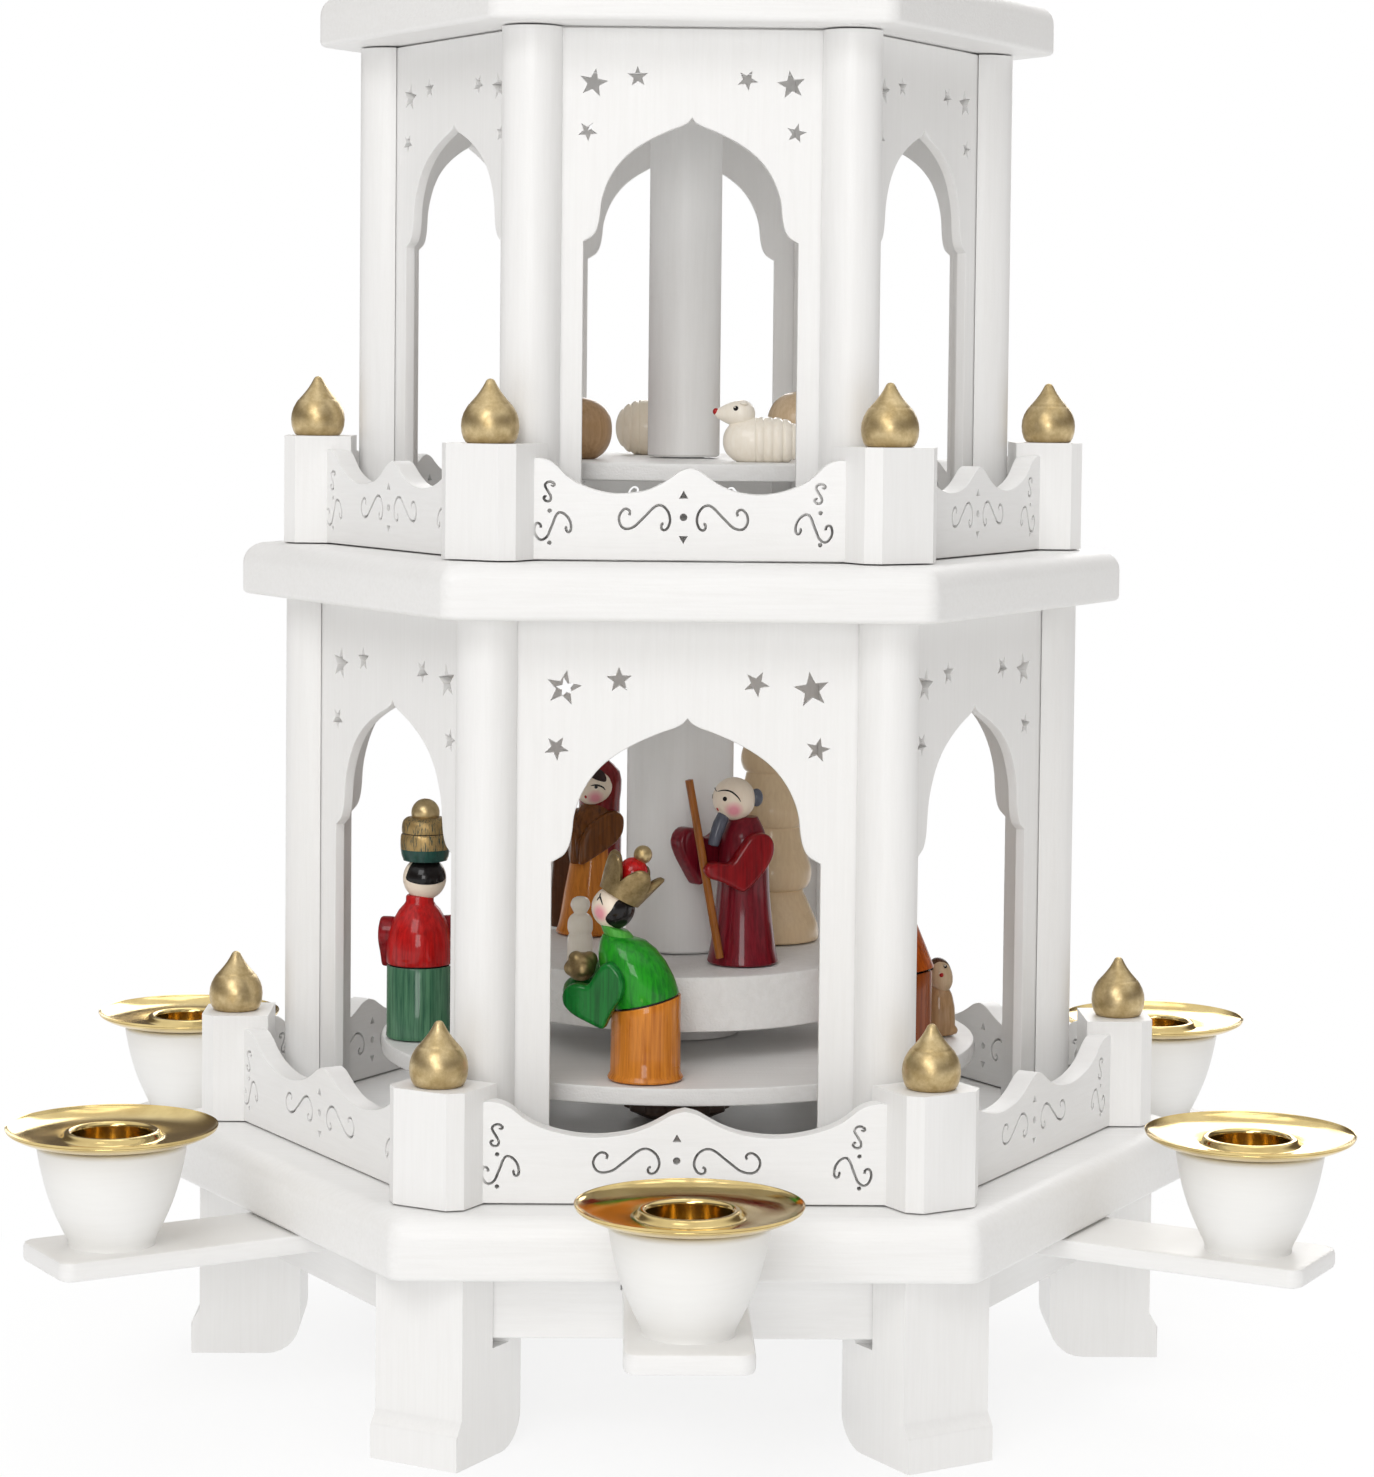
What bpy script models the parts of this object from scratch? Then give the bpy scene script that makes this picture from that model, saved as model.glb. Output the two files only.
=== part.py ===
"""Candle carousel: a three-storey hexagonal wooden tower with turntables of small figures.

Warm air from six candles turns the bladed rotor on top, and the shaft carries three turntables
round inside the star-cut arcades. Lengths are in metres and +Z is up. The origin is on the
shaft's axis at floor level, and the front face of the tower looks along -Y.
"""

import math
from collections import namedtuple

import bmesh
import bpy
import numpy
from mathutils import Matrix, Vector

# Fits shared by every piece
SEAT = 0.0003  # clearance left where two pieces touch
OVERRUN = 0.0020  # how far a cutter runs past what it cuts
SINK = 0.0006  # how far a detail is let into the piece that carries it

# Decks: hexagonal boards, sized by the radius out to a corner
BASE_DECK_RADIUS = 0.1015
MIDDLE_DECK_RADIUS = 0.0860
UPPER_DECK_RADIUS = 0.0715
ROOF_DECK_RADIUS = 0.0570
BASE_DECK_THICKNESS = 0.0110
DECK_THICKNESS = 0.0100
DECK_CORNER_ROUND = 0.0030
DECK_EDGE_ROUND = 0.0040
DECK_HOLE_RADIUS = 0.0070

# Legs: one under each corner of the base deck, with a flared foot
LEG_HEIGHT = 0.0340
LEG_WIDTH = 0.0180
LEG_DEPTH = 0.0195
LEG_INSET = 0.0090
FOOT_FLARE = 0.0016
FOOT_HEIGHT = 0.0065
FOOT_SLOPE = 0.0040
LEG_TOE_ROUND = 0.0060

# Apron: boards let into slots in the legs
APRON_INSET = 0.0123
APRON_THICKNESS = 0.0040
APRON_HEIGHT = 0.0130

# Candle arms and their turned cups, one at the middle of each face
ARM_WIDTH = 0.0215
ARM_THICKNESS = 0.0037
ARM_REACH = 0.0441
ARM_TAIL = 0.0116
ARM_CORNER_ROUND = 0.0025
CUP_REACH = 0.0306
CUP_RADIUS = 0.0134
CUP_HEIGHT = 0.0185
CUP_SHARES = ((0.60, 0), (0.76, 0.13), (0.90, 0.40), (0.98, 0.72), (1, 1))

# Brass drip pans with a pressed socket for a 14 mm candle
PAN_RADIUS = 0.0190
PAN_FLOOR_RADIUS = 0.0120
PAN_DISH_RISE = 0.0023
PAN_WALL = 0.0005
SOCKET_BORE_RADIUS = 0.0071
SOCKET_DEPTH = 0.0140
SOCKET_RING_RADIUS = 0.0089
SOCKET_RING_HEIGHT = 0.0012

# Storeys: columns and star panels between one deck and the next
LOWER_STOREY_HEIGHT = 0.1025
MIDDLE_STOREY_HEIGHT = 0.0957
UPPER_STOREY_HEIGHT = 0.0878
LOWER_COLUMN_INSET = 0.0300
MIDDLE_COLUMN_INSET = 0.0284
UPPER_COLUMN_INSET = 0.0278
COLUMN_RADIUS = 0.0055
PANEL_THICKNESS = 0.0040
PANEL_END_GAP = 0.0020
LOWER_ARCH_SHOULDER = 0.0584
MIDDLE_ARCH_SHOULDER = 0.0568
UPPER_ARCH_SHOULDER = 0.0550
LOWER_ARCH_CROWN = 0.0176
MIDDLE_ARCH_CROWN = 0.0160
UPPER_ARCH_CROWN = 0.0145
STAR_POINTS = 5
STAR_TILT = math.radians(8)
STAR_WAIST_SHARE = 0.42
STAR_ACROSS_SHARE, STAR_BELOW_SHARE, STAR_RADIUS_SHARE = 0.309, 0.172, 0.046
ARCH_WIDTH_SHARE = 0.336
ARCH_SHARES = (
    (1, 0), (0.88, 0.07), (0.84, 0.30), (0.76, 0.52), (0.60, 0.71), (0.32, 0.86), (0.06, 0.95), (0, 1),
)

# Galleries: corner posts with onion finials, and waved rails between them
POST_INSET = 0.0089
POST_WIDTH = 0.0155
POST_DEPTH = 0.0130
POST_CHAMFER = 0.0023
POST_HEIGHT = 0.0205
RAIL_INSET = 0.0111
RAIL_THICKNESS = 0.0040
RAIL_HEIGHT = 0.0180
RAIL_TENON = 0.0030
RAIL_TOP_SHARES = (
    (0.90, 1), (0.81, 0.86), (0.67, 0.72), (0.45, 0.655), (0.24, 0.71), (0.09, 0.85), (0, 0.92),
)
FINIAL_RADIUS = 0.0052
FINIAL_HEIGHT = 0.0115
FINIAL_INSET = 0.0060
FINIAL_SHARES = ((0.80, 0), (1, 0.30), (0.80, 0.56), (0.30, 0.82), (0, 1))

# Bearing at the foot of the shaft
BLOCK_RADIUS = 0.0105
BLOCK_HEIGHT = 0.0060
BLOCK_RECESS_DEPTH = 0.0030
BEARING_CUP_RADIUS = 0.0040
BEARING_CUP_HEIGHT = 0.0030
BEARING_DIMPLE_RADIUS = 0.0020
BEARING_DIMPLE_DEPTH = 0.0012
NEEDLE_RADIUS = 0.0010
NEEDLE_TIP_LENGTH = 0.0030
NEEDLE_BARE_LENGTH = 0.0028
NEEDLE_SOCKET_DEPTH = 0.0080

# Shaft, its sleeves and the turntables that they carry
SHAFT_RADIUS = 0.0040
LOWER_SLEEVE_RADIUS = 0.0104
MIDDLE_SLEEVE_RADIUS = 0.0070
UPPER_SLEEVE_RADIUS = 0.0055
SLEEVE_HEADROOM = 0.0015
TABLE_RISE = 0.0138
TABLE_THICKNESS = 0.0033
TABLE_CLEARANCE = 0.0019
STEP_RADIUS_SHARE = 0.603
STEP_THICKNESS = 0.0106
STEP_SPACER_HEIGHT = 0.0056
STEP_SPACER_RADIUS = 0.0150
BUSH_FLANGE_RADIUS = 0.0090
BUSH_FLANGE_HEIGHT = 0.0020

# Rotor: hub, pitched blades on round stems, and a gold cap
ROTOR_RISE = 0.0180
HUB_RADIUS = 0.0140
HUB_HEIGHT = 0.0140
HUB_EDGE_ROUND = 0.0020
BLADE_COUNT = 8
BLADE_PITCH = math.radians(25)
BLADE_START = 0.0220
BLADE_REACH = 0.1370
BLADE_ROOT_WIDTH = 0.0140
BLADE_TIP_WIDTH = 0.0360
BLADE_THICKNESS = 0.0016
BLADE_CORNER_ROUND = 0.0060
STEM_RADIUS = 0.0020
STEM_SOCKET_DEPTH = 0.0070
STEM_LAP = 0.0080
CAP_RADIUS = 0.0085
CAP_HEIGHT = 0.0190

# Figures: turned bodies sized by height and by the radius at the hem
KING_HEIGHT = 0.0460
GREEN_KING_HEIGHT = 0.0420
KING_RADIUS = 0.0063
KING_REACH = 0.0090
ORANGE_KING_HEIGHT = 0.0380
ORANGE_KING_RADIUS = 0.0080
MOTHER_HEIGHT = 0.0350
MOTHER_RADIUS = 0.0062
MOTHER_REACH = 0.0070
BEARER_HEIGHT = 0.0362
BEARER_RADIUS = 0.0067
STAFF_RADIUS = 0.0008
STAFF_FOOT = Vector((0.0070, 0.0031, 0.0006))
STAFF_TOP = Vector((0.0122, 0.0005, 0.0338))
SHEPHERD_HEIGHT = 0.0320
SHEPHERD_RADIUS = 0.0052
TREE_HEIGHT = 0.0480
TREE_RADIUS = 0.0094
TREE_GAP = 0.0018
LAMB_HEIGHT = 0.0126
LAMB_RADIUS = 0.0027
SHEEP_LENGTH = 0.0170
SHEEP_HEIGHT = 0.0096
ANIMAL_HEIGHT = 0.0150
ANIMAL_RADIUS = 0.0042
ANGEL_HEIGHT = 0.0260
ANGEL_RADIUS = 0.0052
ARM_RADIUS = 0.0013

# Turned outlines as shares of the hem's radius and of the height, bottom to top
KING_SHARES = (
    (1, 0), (1, 0.31), (0.94, 0.44), (0.62, 0.54), (0.43, 0.58), (0.67, 0.66),
    (0.60, 0.73), (0.75, 0.80), (0.68, 0.91), (0.40, 0.95), (0, 1),
)
CLOAK_SHARES = ((0.96, 0), (1, 0.42), (0.41, 0.74), (0.47, 0.82), (0.40, 0.92), (0, 1))
ROBE_SHARES = (
    (1, 0), (0.86, 0.20), (0.66, 0.50), (0.68, 0.66), (0.40, 0.74), (0.60, 0.84), (0.50, 0.95), (0, 1),
)
BELL_SHARES = ((1, 0), (0.72, 0.30), (0.50, 0.62), (0.30, 0.70), (0.52, 0.80), (0.48, 0.93), (0, 1))
TREE_SHARES = (
    (0.95, 0), (1, 0.03), (0.68, 0.21), (0.85, 0.28), (0.62, 0.48),
    (0.75, 0.54), (0.52, 0.73), (0.59, 0.79), (0.26, 0.95), (0, 1),
)
LAMB_SHARES = ((0.94, 0), (1, 0.36), (0.86, 0.44), (0.90, 0.64), (0.46, 0.72), (0.70, 0.86), (0, 1))
CHEST_SHARE, SHOULDER_SHARE, HAND_SHARE, KING_SHOULDER_SHARE, KING_HAND_SHARE = 0.66, 0.61, 0.50, 0.49, 0.40
SITTING_SHARES = ((0.95, 0), (1, 0.25), (0.62, 0.60), (0.72, 0.80), (0.50, 0.96), (0, 1))
FLEECE_SHARES = (
    (0, 0), (0.42, 0.06), (0.55, 0.18), (0.36, 0.30), (0.86, 0.38), (0.97, 0.52),
    (0.88, 0.58), (1, 0.72), (0.78, 0.92), (0, 1),
)

# How far the bowing king leans forward up the body, as shares of that height
BOW_HEIGHT_SHARES, BOW_REACH_SHARES = (0.31, 0.70, 1), (0, 0.15, 0.02)

# How far a sheep's neck and head rise from its chest forward, as shares of its length and height
NECK_ALONG_SHARES, NECK_RISE_SHARES = (0.12, 0.32), (0, 0.44)

# Where figures stand, as shares of their turntable's radius, and the way they face in degrees
LOWER_PLACE_SHARES = {
    "king_red": (-0.867, -0.150, 100),
    "king_green": (-0.117, -0.853, 180),
    "king_orange": (0.700, -0.300, 150),
    "sitting_animal": (0.880, -0.050, 200),
    "mother": (-0.307, 0.293, -120),
    "staff_bearer": (0.205, -0.320, -150),
    "lamb": (-0.330, -0.350, 190),
}
SHEEP_PLACE_SHARES = ((0.36, -0.61, 180), (0.54, 0.12, 15), (-0.11, 0.55, 0), (-0.46, -0.36, 180))
SHEPHERD_PLACE_SHARE = (-0.56, -0.10, 160)
ANGEL_COUNT = 3
ANGEL_PLACE_SHARE = 0.66

# The tree stands beside the sleeve, in this direction in degrees
TREE_BEARING = 30.7

# Facet counts
SIDES = 6
CORNER_TURNS = (-1, 0, 1)
TABLE_TURN = 24
FINE_TURN = 12
COLUMN_TURN = 10
SMALL_TURN = 8
ROUND_STEPS = 2

# Faces closer to level with each other than this are one flat face
FLAT_ANGLE = math.radians(0.05)

# Angles and places that follow from the sizes above
SLICE = math.tau / SIDES
CORNER_ANGLES = [SLICE * k for k in range(SIDES)]
FACE_ANGLES = [SLICE * (k + 0.5) for k in range(SIDES)]
COS_HALF = math.cos(SLICE / 2)
TAN_HALF = math.tan(SLICE / 2)
BASE_TOP = LEG_HEIGHT + BASE_DECK_THICKNESS
MIDDLE_TOP = BASE_TOP + LOWER_STOREY_HEIGHT + DECK_THICKNESS
UPPER_TOP = MIDDLE_TOP + MIDDLE_STOREY_HEIGHT + DECK_THICKNESS
ROOF_BOTTOM = UPPER_TOP + UPPER_STOREY_HEIGHT
ROOF_TOP = ROOF_BOTTOM + DECK_THICKNESS
ROTOR_HEIGHT = ROOF_TOP + ROTOR_RISE
BASE_FACE = BASE_DECK_RADIUS * COS_HALF
APRON_FACE = BASE_FACE - APRON_INSET
APRON_BACK = APRON_FACE - APRON_THICKNESS
APRON_BOTTOM = LEG_HEIGHT - APRON_HEIGHT
ARM_TOP = LEG_HEIGHT - SEAT
ARM_BOTTOM = ARM_TOP - ARM_THICKNESS
CUP_CENTRE = BASE_FACE + CUP_REACH
CUP_TOP = ARM_TOP + CUP_HEIGHT
SOCKET_RADIUS = SOCKET_BORE_RADIUS + PAN_WALL
SHAFT_BORE_RADIUS = (SHAFT_RADIUS + SEAT) / math.cos(math.pi / FINE_TURN)
BLOCK_BOTTOM = BASE_TOP + SEAT
BEARING_CUP_BOTTOM = BLOCK_BOTTOM + BLOCK_HEIGHT - BLOCK_RECESS_DEPTH + SEAT
NEEDLE_TIP = BEARING_CUP_BOTTOM + BEARING_CUP_HEIGHT - BEARING_DIMPLE_DEPTH + SEAT
SHAFT_BOTTOM = NEEDLE_TIP + NEEDLE_BARE_LENGTH
HUB_BOTTOM = ROTOR_HEIGHT - HUB_HEIGHT / 2
HUB_TOP = ROTOR_HEIGHT + HUB_HEIGHT / 2
SHAFT_TOP = HUB_TOP - HUB_EDGE_ROUND - SEAT

# A board drawn in XY and raised in Z, stood up to face outwards or along a radius
FACING_OUT = Matrix(((0, 0, 1, 0), (1, 0, 0, 0), (0, 1, 0, 0), (0, 0, 0, 1)))
ALONG_RADIUS = Matrix.Rotation(math.pi / 2, 4, "X")
UP_TO_OUT = Matrix.Rotation(math.pi / 2, 4, "Y")

Storey = namedtuple("Storey", "name deck_radius deck_top height column_inset arch_shoulder arch_crown")
STOREYS = (
    Storey("lower", BASE_DECK_RADIUS, BASE_TOP, LOWER_STOREY_HEIGHT,
           LOWER_COLUMN_INSET, LOWER_ARCH_SHOULDER, LOWER_ARCH_CROWN),
    Storey("middle", MIDDLE_DECK_RADIUS, MIDDLE_TOP, MIDDLE_STOREY_HEIGHT,
           MIDDLE_COLUMN_INSET, MIDDLE_ARCH_SHOULDER, MIDDLE_ARCH_CROWN),
    Storey("upper", UPPER_DECK_RADIUS, UPPER_TOP, UPPER_STOREY_HEIGHT,
           UPPER_COLUMN_INSET, UPPER_ARCH_SHOULDER, UPPER_ARCH_CROWN),
)

PAINTS = {
    "white_paint": ((0.88, 0.87, 0.85), 0.45, 0.0),
    "gold_paint": ((0.62, 0.50, 0.28), 0.30, 0.6),
    "brass": ((0.83, 0.68, 0.33), 0.15, 1.0),
    "steel": ((0.60, 0.60, 0.62), 0.25, 1.0),
    "dark_wood": ((0.13, 0.06, 0.03), 0.40, 0.0),
    "natural_wood": ((0.82, 0.66, 0.46), 0.50, 0.0),
    "red_paint": ((0.70, 0.05, 0.05), 0.35, 0.0),
    "dark_red_paint": ((0.35, 0.02, 0.05), 0.35, 0.0),
    "green_paint": ((0.02, 0.45, 0.10), 0.35, 0.0),
    "orange_stain": ((0.72, 0.38, 0.10), 0.40, 0.0),
    "cream_paint": ((0.88, 0.82, 0.68), 0.45, 0.0),
}


# Mesh helpers

def clear_scene():
    """Remove every object that the file was opened with."""
    for obj in list(bpy.data.objects):
        bpy.data.objects.remove(obj, do_unlink=True)


def paint(name):
    """Return the named finish as a Principled material, made on first use."""
    found = bpy.data.materials.get(name)
    if found:
        return found
    colour, roughness, metallic = PAINTS[name]
    made = bpy.data.materials.new(name)
    made.use_nodes = True
    shader = made.node_tree.nodes["Principled BSDF"]
    shader.inputs["Base Color"].default_value = (*colour, 1)
    shader.inputs["Roughness"].default_value = roughness
    shader.inputs["Metallic"].default_value = metallic
    return made


def around(angle):
    """Return a turn about the tower's axis."""
    return Matrix.Rotation(angle, 4, "Z")


def at(x, y, z):
    """Return a shift."""
    return Matrix.Translation((x, y, z))


def moved(bm, matrix):
    """Return the bmesh after moving all of it."""
    bmesh.ops.transform(bm, matrix=matrix, verts=bm.verts)
    return bm


def merged(pieces):
    """Return one bmesh holding several that don't touch each other."""
    whole = bmesh.new()
    for piece in pieces:
        mesh = bpy.data.meshes.new("piece")
        piece.to_mesh(mesh)
        piece.free()
        whole.from_mesh(mesh)
        bpy.data.meshes.remove(mesh)
    return whole


def loft(rings, closed=False):
    """Return a bmesh skinned over rings of points, where a ring of one point is a pole."""
    bm = bmesh.new()
    loops = [[bm.verts.new(point) for point in ring] for ring in rings]
    pairs = list(zip(loops, loops[1:]))
    if closed:
        pairs.append((loops[-1], loops[0]))
    for low, high in pairs:
        for i in range(max(len(low), len(high))):
            corners = (
                low[i % len(low)], low[(i + 1) % len(low)],
                high[(i + 1) % len(high)], high[i % len(high)],
            )
            bm.faces.new(dict.fromkeys(corners))
    bmesh.ops.recalc_face_normals(bm, faces=bm.faces)
    return bm


def turned(profile, segments, closed=False):
    """Return a bmesh turned about Z from (radius, height) points; closed joins last to first."""
    angles = [math.tau * i / segments for i in range(segments)]
    rings = [
        [(radius * math.cos(a), radius * math.sin(a), height) for a in (angles if radius else angles[:1])]
        for radius, height in profile
    ]
    return loft(rings, closed)


def rod(radius, low, high, segments):
    """Return a plain round bar along Z."""
    return turned([(0, low), (radius, low), (radius, high), (0, high)], segments)


def sleeve(outer, bore, low, high, segments):
    """Return a round bar along Z with a hole right through it."""
    return turned([(bore, low), (outer, low), (outer, high), (bore, high)], segments, closed=True)


def plate(outline, holes, low, high):
    """Return a board: an XY outline with holes, filled and raised from low to high."""
    bm = bmesh.new()
    edges = []
    for loop in (outline, *holes):
        verts = [bm.verts.new((x, y, low)) for x, y in loop]
        edges += [bm.edges.new(pair) for pair in zip(verts, verts[1:] + verts[:1])]
    filled = bmesh.ops.triangle_fill(bm, use_beauty=True, use_dissolve=False, edges=edges)
    faces = [item for item in filled["geom"] if isinstance(item, bmesh.types.BMFace)]
    raised = bmesh.ops.extrude_face_region(bm, geom=faces)
    verts = [item for item in raised["geom"] if isinstance(item, bmesh.types.BMVert)]
    bmesh.ops.translate(bm, vec=(0, 0, high - low), verts=verts)
    bmesh.ops.recalc_face_normals(bm, faces=bm.faces)
    return bm


def arc(centre, radius, start, end, steps):
    """Return points along an arc, both ends included."""
    turns = [start + (end - start) * i / steps for i in range(steps + 1)]
    return [(centre[0] + radius * math.cos(t), centre[1] + radius * math.sin(t)) for t in turns]


def mirrored(half):
    """Return a right-hand half outline that ends on the middle, followed by its mirror image."""
    return list(half) + [(-x, y) for x, y in reversed(half[:-1])]


def scaled(shares, radius, height, base=0):
    """Return an outline of shares at full size."""
    return [(radius * x, base + height * y) for x, y in shares]


def limb(start, end, radius):
    """Return a straight arm between two points."""
    run = Vector(end) - Vector(start)
    turn = run.to_track_quat("Z", "Y").to_matrix().to_4x4()
    return moved(rod(radius, 0, run.length, SIDES), Matrix.Translation(start) @ turn)


def to_object(name, bm, materials, matrix=Matrix(), parent=None):
    """Add the bmesh to the scene as a named object, smooth where it's round."""
    mesh = bpy.data.meshes.new(name)
    bm.to_mesh(mesh)
    bm.free()
    mesh.shade_smooth()
    mesh.set_sharp_from_angle(angle=math.radians(35))
    for material in materials:
        mesh.materials.append(material)
    return place(name, mesh, matrix, parent)


def place(name, mesh, matrix, parent=None):
    """Add an object that may share its mesh with others."""
    obj = bpy.data.objects.new(name, mesh)
    bpy.context.collection.objects.link(obj)
    obj.parent = parent
    obj.matrix_local = matrix
    return obj


def boolean(base, tool, operation, materials=()):
    """Return base joined with, or cut by, tool; both bmeshes are used up."""
    target = to_object("scratch_target", base, materials)
    cutter = to_object("scratch_cutter", tool, materials)
    modifier = target.modifiers.new("combine", "BOOLEAN")
    modifier.operation = operation
    modifier.solver = "EXACT"
    modifier.object = cutter
    bpy.context.view_layer.update()
    result = bmesh.new()
    result.from_object(target, bpy.context.evaluated_depsgraph_get())
    bmesh.ops.dissolve_limit(
        result, angle_limit=FLAT_ANGLE, verts=result.verts, edges=result.edges, delimit={"MATERIAL"}
    )
    for scratch in (target, cutter):
        mesh = scratch.data
        bpy.data.objects.remove(scratch, do_unlink=True)
        bpy.data.meshes.remove(mesh)
    return result


# Hexagonal outlines

def hexagon(inradius, height, corner=0, turns=(0,)):
    """Return a level ring round a hexagon, its corners rounded over the given turns."""
    centre = (inradius - corner) / COS_HALF
    ring = []
    for angle in CORNER_ANGLES:
        for turn in turns:
            lean = angle + turn * SLICE / 2
            ring.append((
                centre * math.cos(angle) + corner * math.cos(lean),
                centre * math.sin(angle) + corner * math.sin(lean),
                height,
            ))
    return ring


def hexagonal_tube(outer, inner, low, high):
    """Return a mitred hexagonal ring of boards, sized by the inradius of its faces."""
    return loft(
        [hexagon(inner, low), hexagon(outer, low), hexagon(outer, high), hexagon(inner, high)], closed=True
    )


def deck(radius, thickness, hole_radius):
    """Return a hexagonal board with a round-over along its upper edge and a hole for the shaft."""
    face = radius * COS_HALF
    step = SLICE / len(CORNER_TURNS)

    def centre_ring(height):
        if not hole_radius:
            return [(0, 0, height)]
        turns = [angle + turn * step for angle in CORNER_ANGLES for turn in CORNER_TURNS]
        return [(hole_radius * math.cos(t), hole_radius * math.sin(t), height) for t in turns]

    rings = [centre_ring(0), hexagon(face, 0, DECK_CORNER_ROUND, CORNER_TURNS)]
    for i in range(ROUND_STEPS + 1):
        lift = math.pi / 2 * i / ROUND_STEPS
        rings.append(hexagon(
            face - DECK_EDGE_ROUND * (1 - math.cos(lift)),
            thickness - DECK_EDGE_ROUND * (1 - math.sin(lift)),
            DECK_CORNER_ROUND, CORNER_TURNS,
        ))
    rings.append(centre_ring(thickness))
    return loft(rings, closed=bool(hole_radius))


# Base: legs, apron, candle arms and pans

def leg():
    """Return a leg standing along +X, flared at the foot and slotted for the apron's corner."""
    outer = BASE_DECK_RADIUS - LEG_INSET
    inner = outer - LEG_DEPTH
    top = LEG_HEIGHT - SEAT
    toe = arc((inner + LEG_TOE_ROUND, LEG_TOE_ROUND), LEG_TOE_ROUND, math.pi, 1.5 * math.pi, ROUND_STEPS)
    outline = [
        (outer + FOOT_FLARE, 0), (outer + FOOT_FLARE, FOOT_HEIGHT), (outer, FOOT_HEIGHT + FOOT_SLOPE),
        (outer, top), (inner, top), *toe,
    ]
    board = moved(plate(outline, (), -LEG_WIDTH / 2, LEG_WIDTH / 2), ALONG_RADIUS)
    slot = hexagonal_tube(APRON_FACE + SEAT, APRON_BACK - SEAT, APRON_BOTTOM - SEAT, LEG_HEIGHT + OVERRUN)
    return boolean(board, slot, "DIFFERENCE")


def apron():
    """Return the ring of apron boards, notched where the candle arms pass through."""
    ring = hexagonal_tube(APRON_FACE, APRON_BACK, APRON_BOTTOM, LEG_HEIGHT - SEAT)
    half = ARM_WIDTH / 2 + SEAT
    start, end = APRON_BACK - OVERRUN, APRON_FACE + OVERRUN
    outline = [(start, -half), (end, -half), (end, half), (start, half)]
    notches = [
        moved(plate(outline, (), ARM_BOTTOM - SEAT, LEG_HEIGHT + OVERRUN), around(angle))
        for angle in FACE_ANGLES
    ]
    return boolean(ring, merged(notches), "DIFFERENCE")


def candle_arm():
    """Return a flat arm along +X with its turned cup, bored for the pan's socket."""
    half = ARM_WIDTH / 2
    tail = APRON_BACK - ARM_TAIL
    end = BASE_FACE + ARM_REACH
    corner = (end - ARM_CORNER_ROUND, half - ARM_CORNER_ROUND)
    round_end = arc(corner, ARM_CORNER_ROUND, 0, math.pi / 2, ROUND_STEPS)
    outline = [(tail, half), (tail, -half)] + [(x, -y) for x, y in reversed(round_end)] + round_end
    board = plate(outline, (), ARM_BOTTOM, ARM_TOP)
    bore = (SOCKET_RADIUS + SEAT) / math.cos(math.pi / FINE_TURN)
    floor = CUP_HEIGHT - SOCKET_DEPTH - PAN_WALL - SEAT
    profile = [(0, -SINK), *scaled(CUP_SHARES, CUP_RADIUS, CUP_HEIGHT + SINK, -SINK)]
    profile += [(bore, CUP_HEIGHT), (bore, floor), (0, floor)]
    cup = moved(turned(profile, FINE_TURN), at(CUP_CENTRE, 0, ARM_TOP))
    return boolean(board, cup, "UNION")


def candle_pan():
    """Return a spun drip pan whose socket hangs into the cup, with zero at the cup's top."""
    floor = SEAT + PAN_WALL
    rim = floor + PAN_DISH_RISE
    ring_top = floor + SOCKET_RING_HEIGHT
    bottom = SEAT - SOCKET_DEPTH
    profile = [
        (0, bottom), (SOCKET_BORE_RADIUS, bottom), (SOCKET_BORE_RADIUS, ring_top),
        (SOCKET_RING_RADIUS, floor), (PAN_FLOOR_RADIUS, floor), (PAN_RADIUS, rim),
        (PAN_RADIUS, rim - PAN_WALL), (PAN_FLOOR_RADIUS, SEAT), (SOCKET_RADIUS, SEAT),
        (SOCKET_RADIUS, bottom - PAN_WALL), (0, bottom - PAN_WALL),
    ]
    return turned(profile, FINE_TURN)


# Storeys: arcades and galleries

def star(x, y, radius, tilt):
    """Return a five-pointed star's outline."""
    points = []
    for i in range(2 * STAR_POINTS):
        reach = radius if i % 2 == 0 else radius * STAR_WAIST_SHARE
        angle = tilt + math.pi / 2 + math.pi * i / STAR_POINTS
        points.append((x + reach * math.cos(angle), y + reach * math.sin(angle)))
    return points


def arch_panel(storey):
    """Return one panel standing along +X: a board opened by an ogee arch and two stars."""
    circle = storey.deck_radius - storey.column_inset
    height = storey.height - 2 * SEAT
    half = circle / 2 - PANEL_END_GAP
    opening = circle * ARCH_WIDTH_SHARE
    crown = height - storey.arch_crown
    arch = scaled(ARCH_SHARES, opening, crown - storey.arch_shoulder, storey.arch_shoulder)
    outline = [(half, 0), (half, height), (-half, height), (-half, 0)]
    outline += [(-opening, 0)] + [(-x, y) for x, y in mirrored(arch)] + [(opening, 0)]
    star_height, star_radius = height - circle * STAR_BELOW_SHARE, circle * STAR_RADIUS_SHARE
    stars = [
        star(side * circle * STAR_ACROSS_SHARE, star_height, star_radius, side * STAR_TILT)
        for side in (-1, 1)
    ]
    board = plate(outline, stars, -PANEL_THICKNESS / 2, PANEL_THICKNESS / 2)
    return moved(board, at(circle * COS_HALF, 0, SEAT) @ FACING_OUT)


def arcade(storey):
    """Return a storey's six columns and six star panels, joined where the panels enter the columns."""
    circle = storey.deck_radius - storey.column_inset
    columns = [
        moved(rod(COLUMN_RADIUS, SEAT, storey.height - SEAT, COLUMN_TURN), around(a) @ at(circle, 0, 0))
        for a in CORNER_ANGLES
    ]
    panels = [moved(arch_panel(storey), around(a)) for a in FACE_ANGLES]
    return boolean(merged(columns), merged(panels), "UNION")


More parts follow.
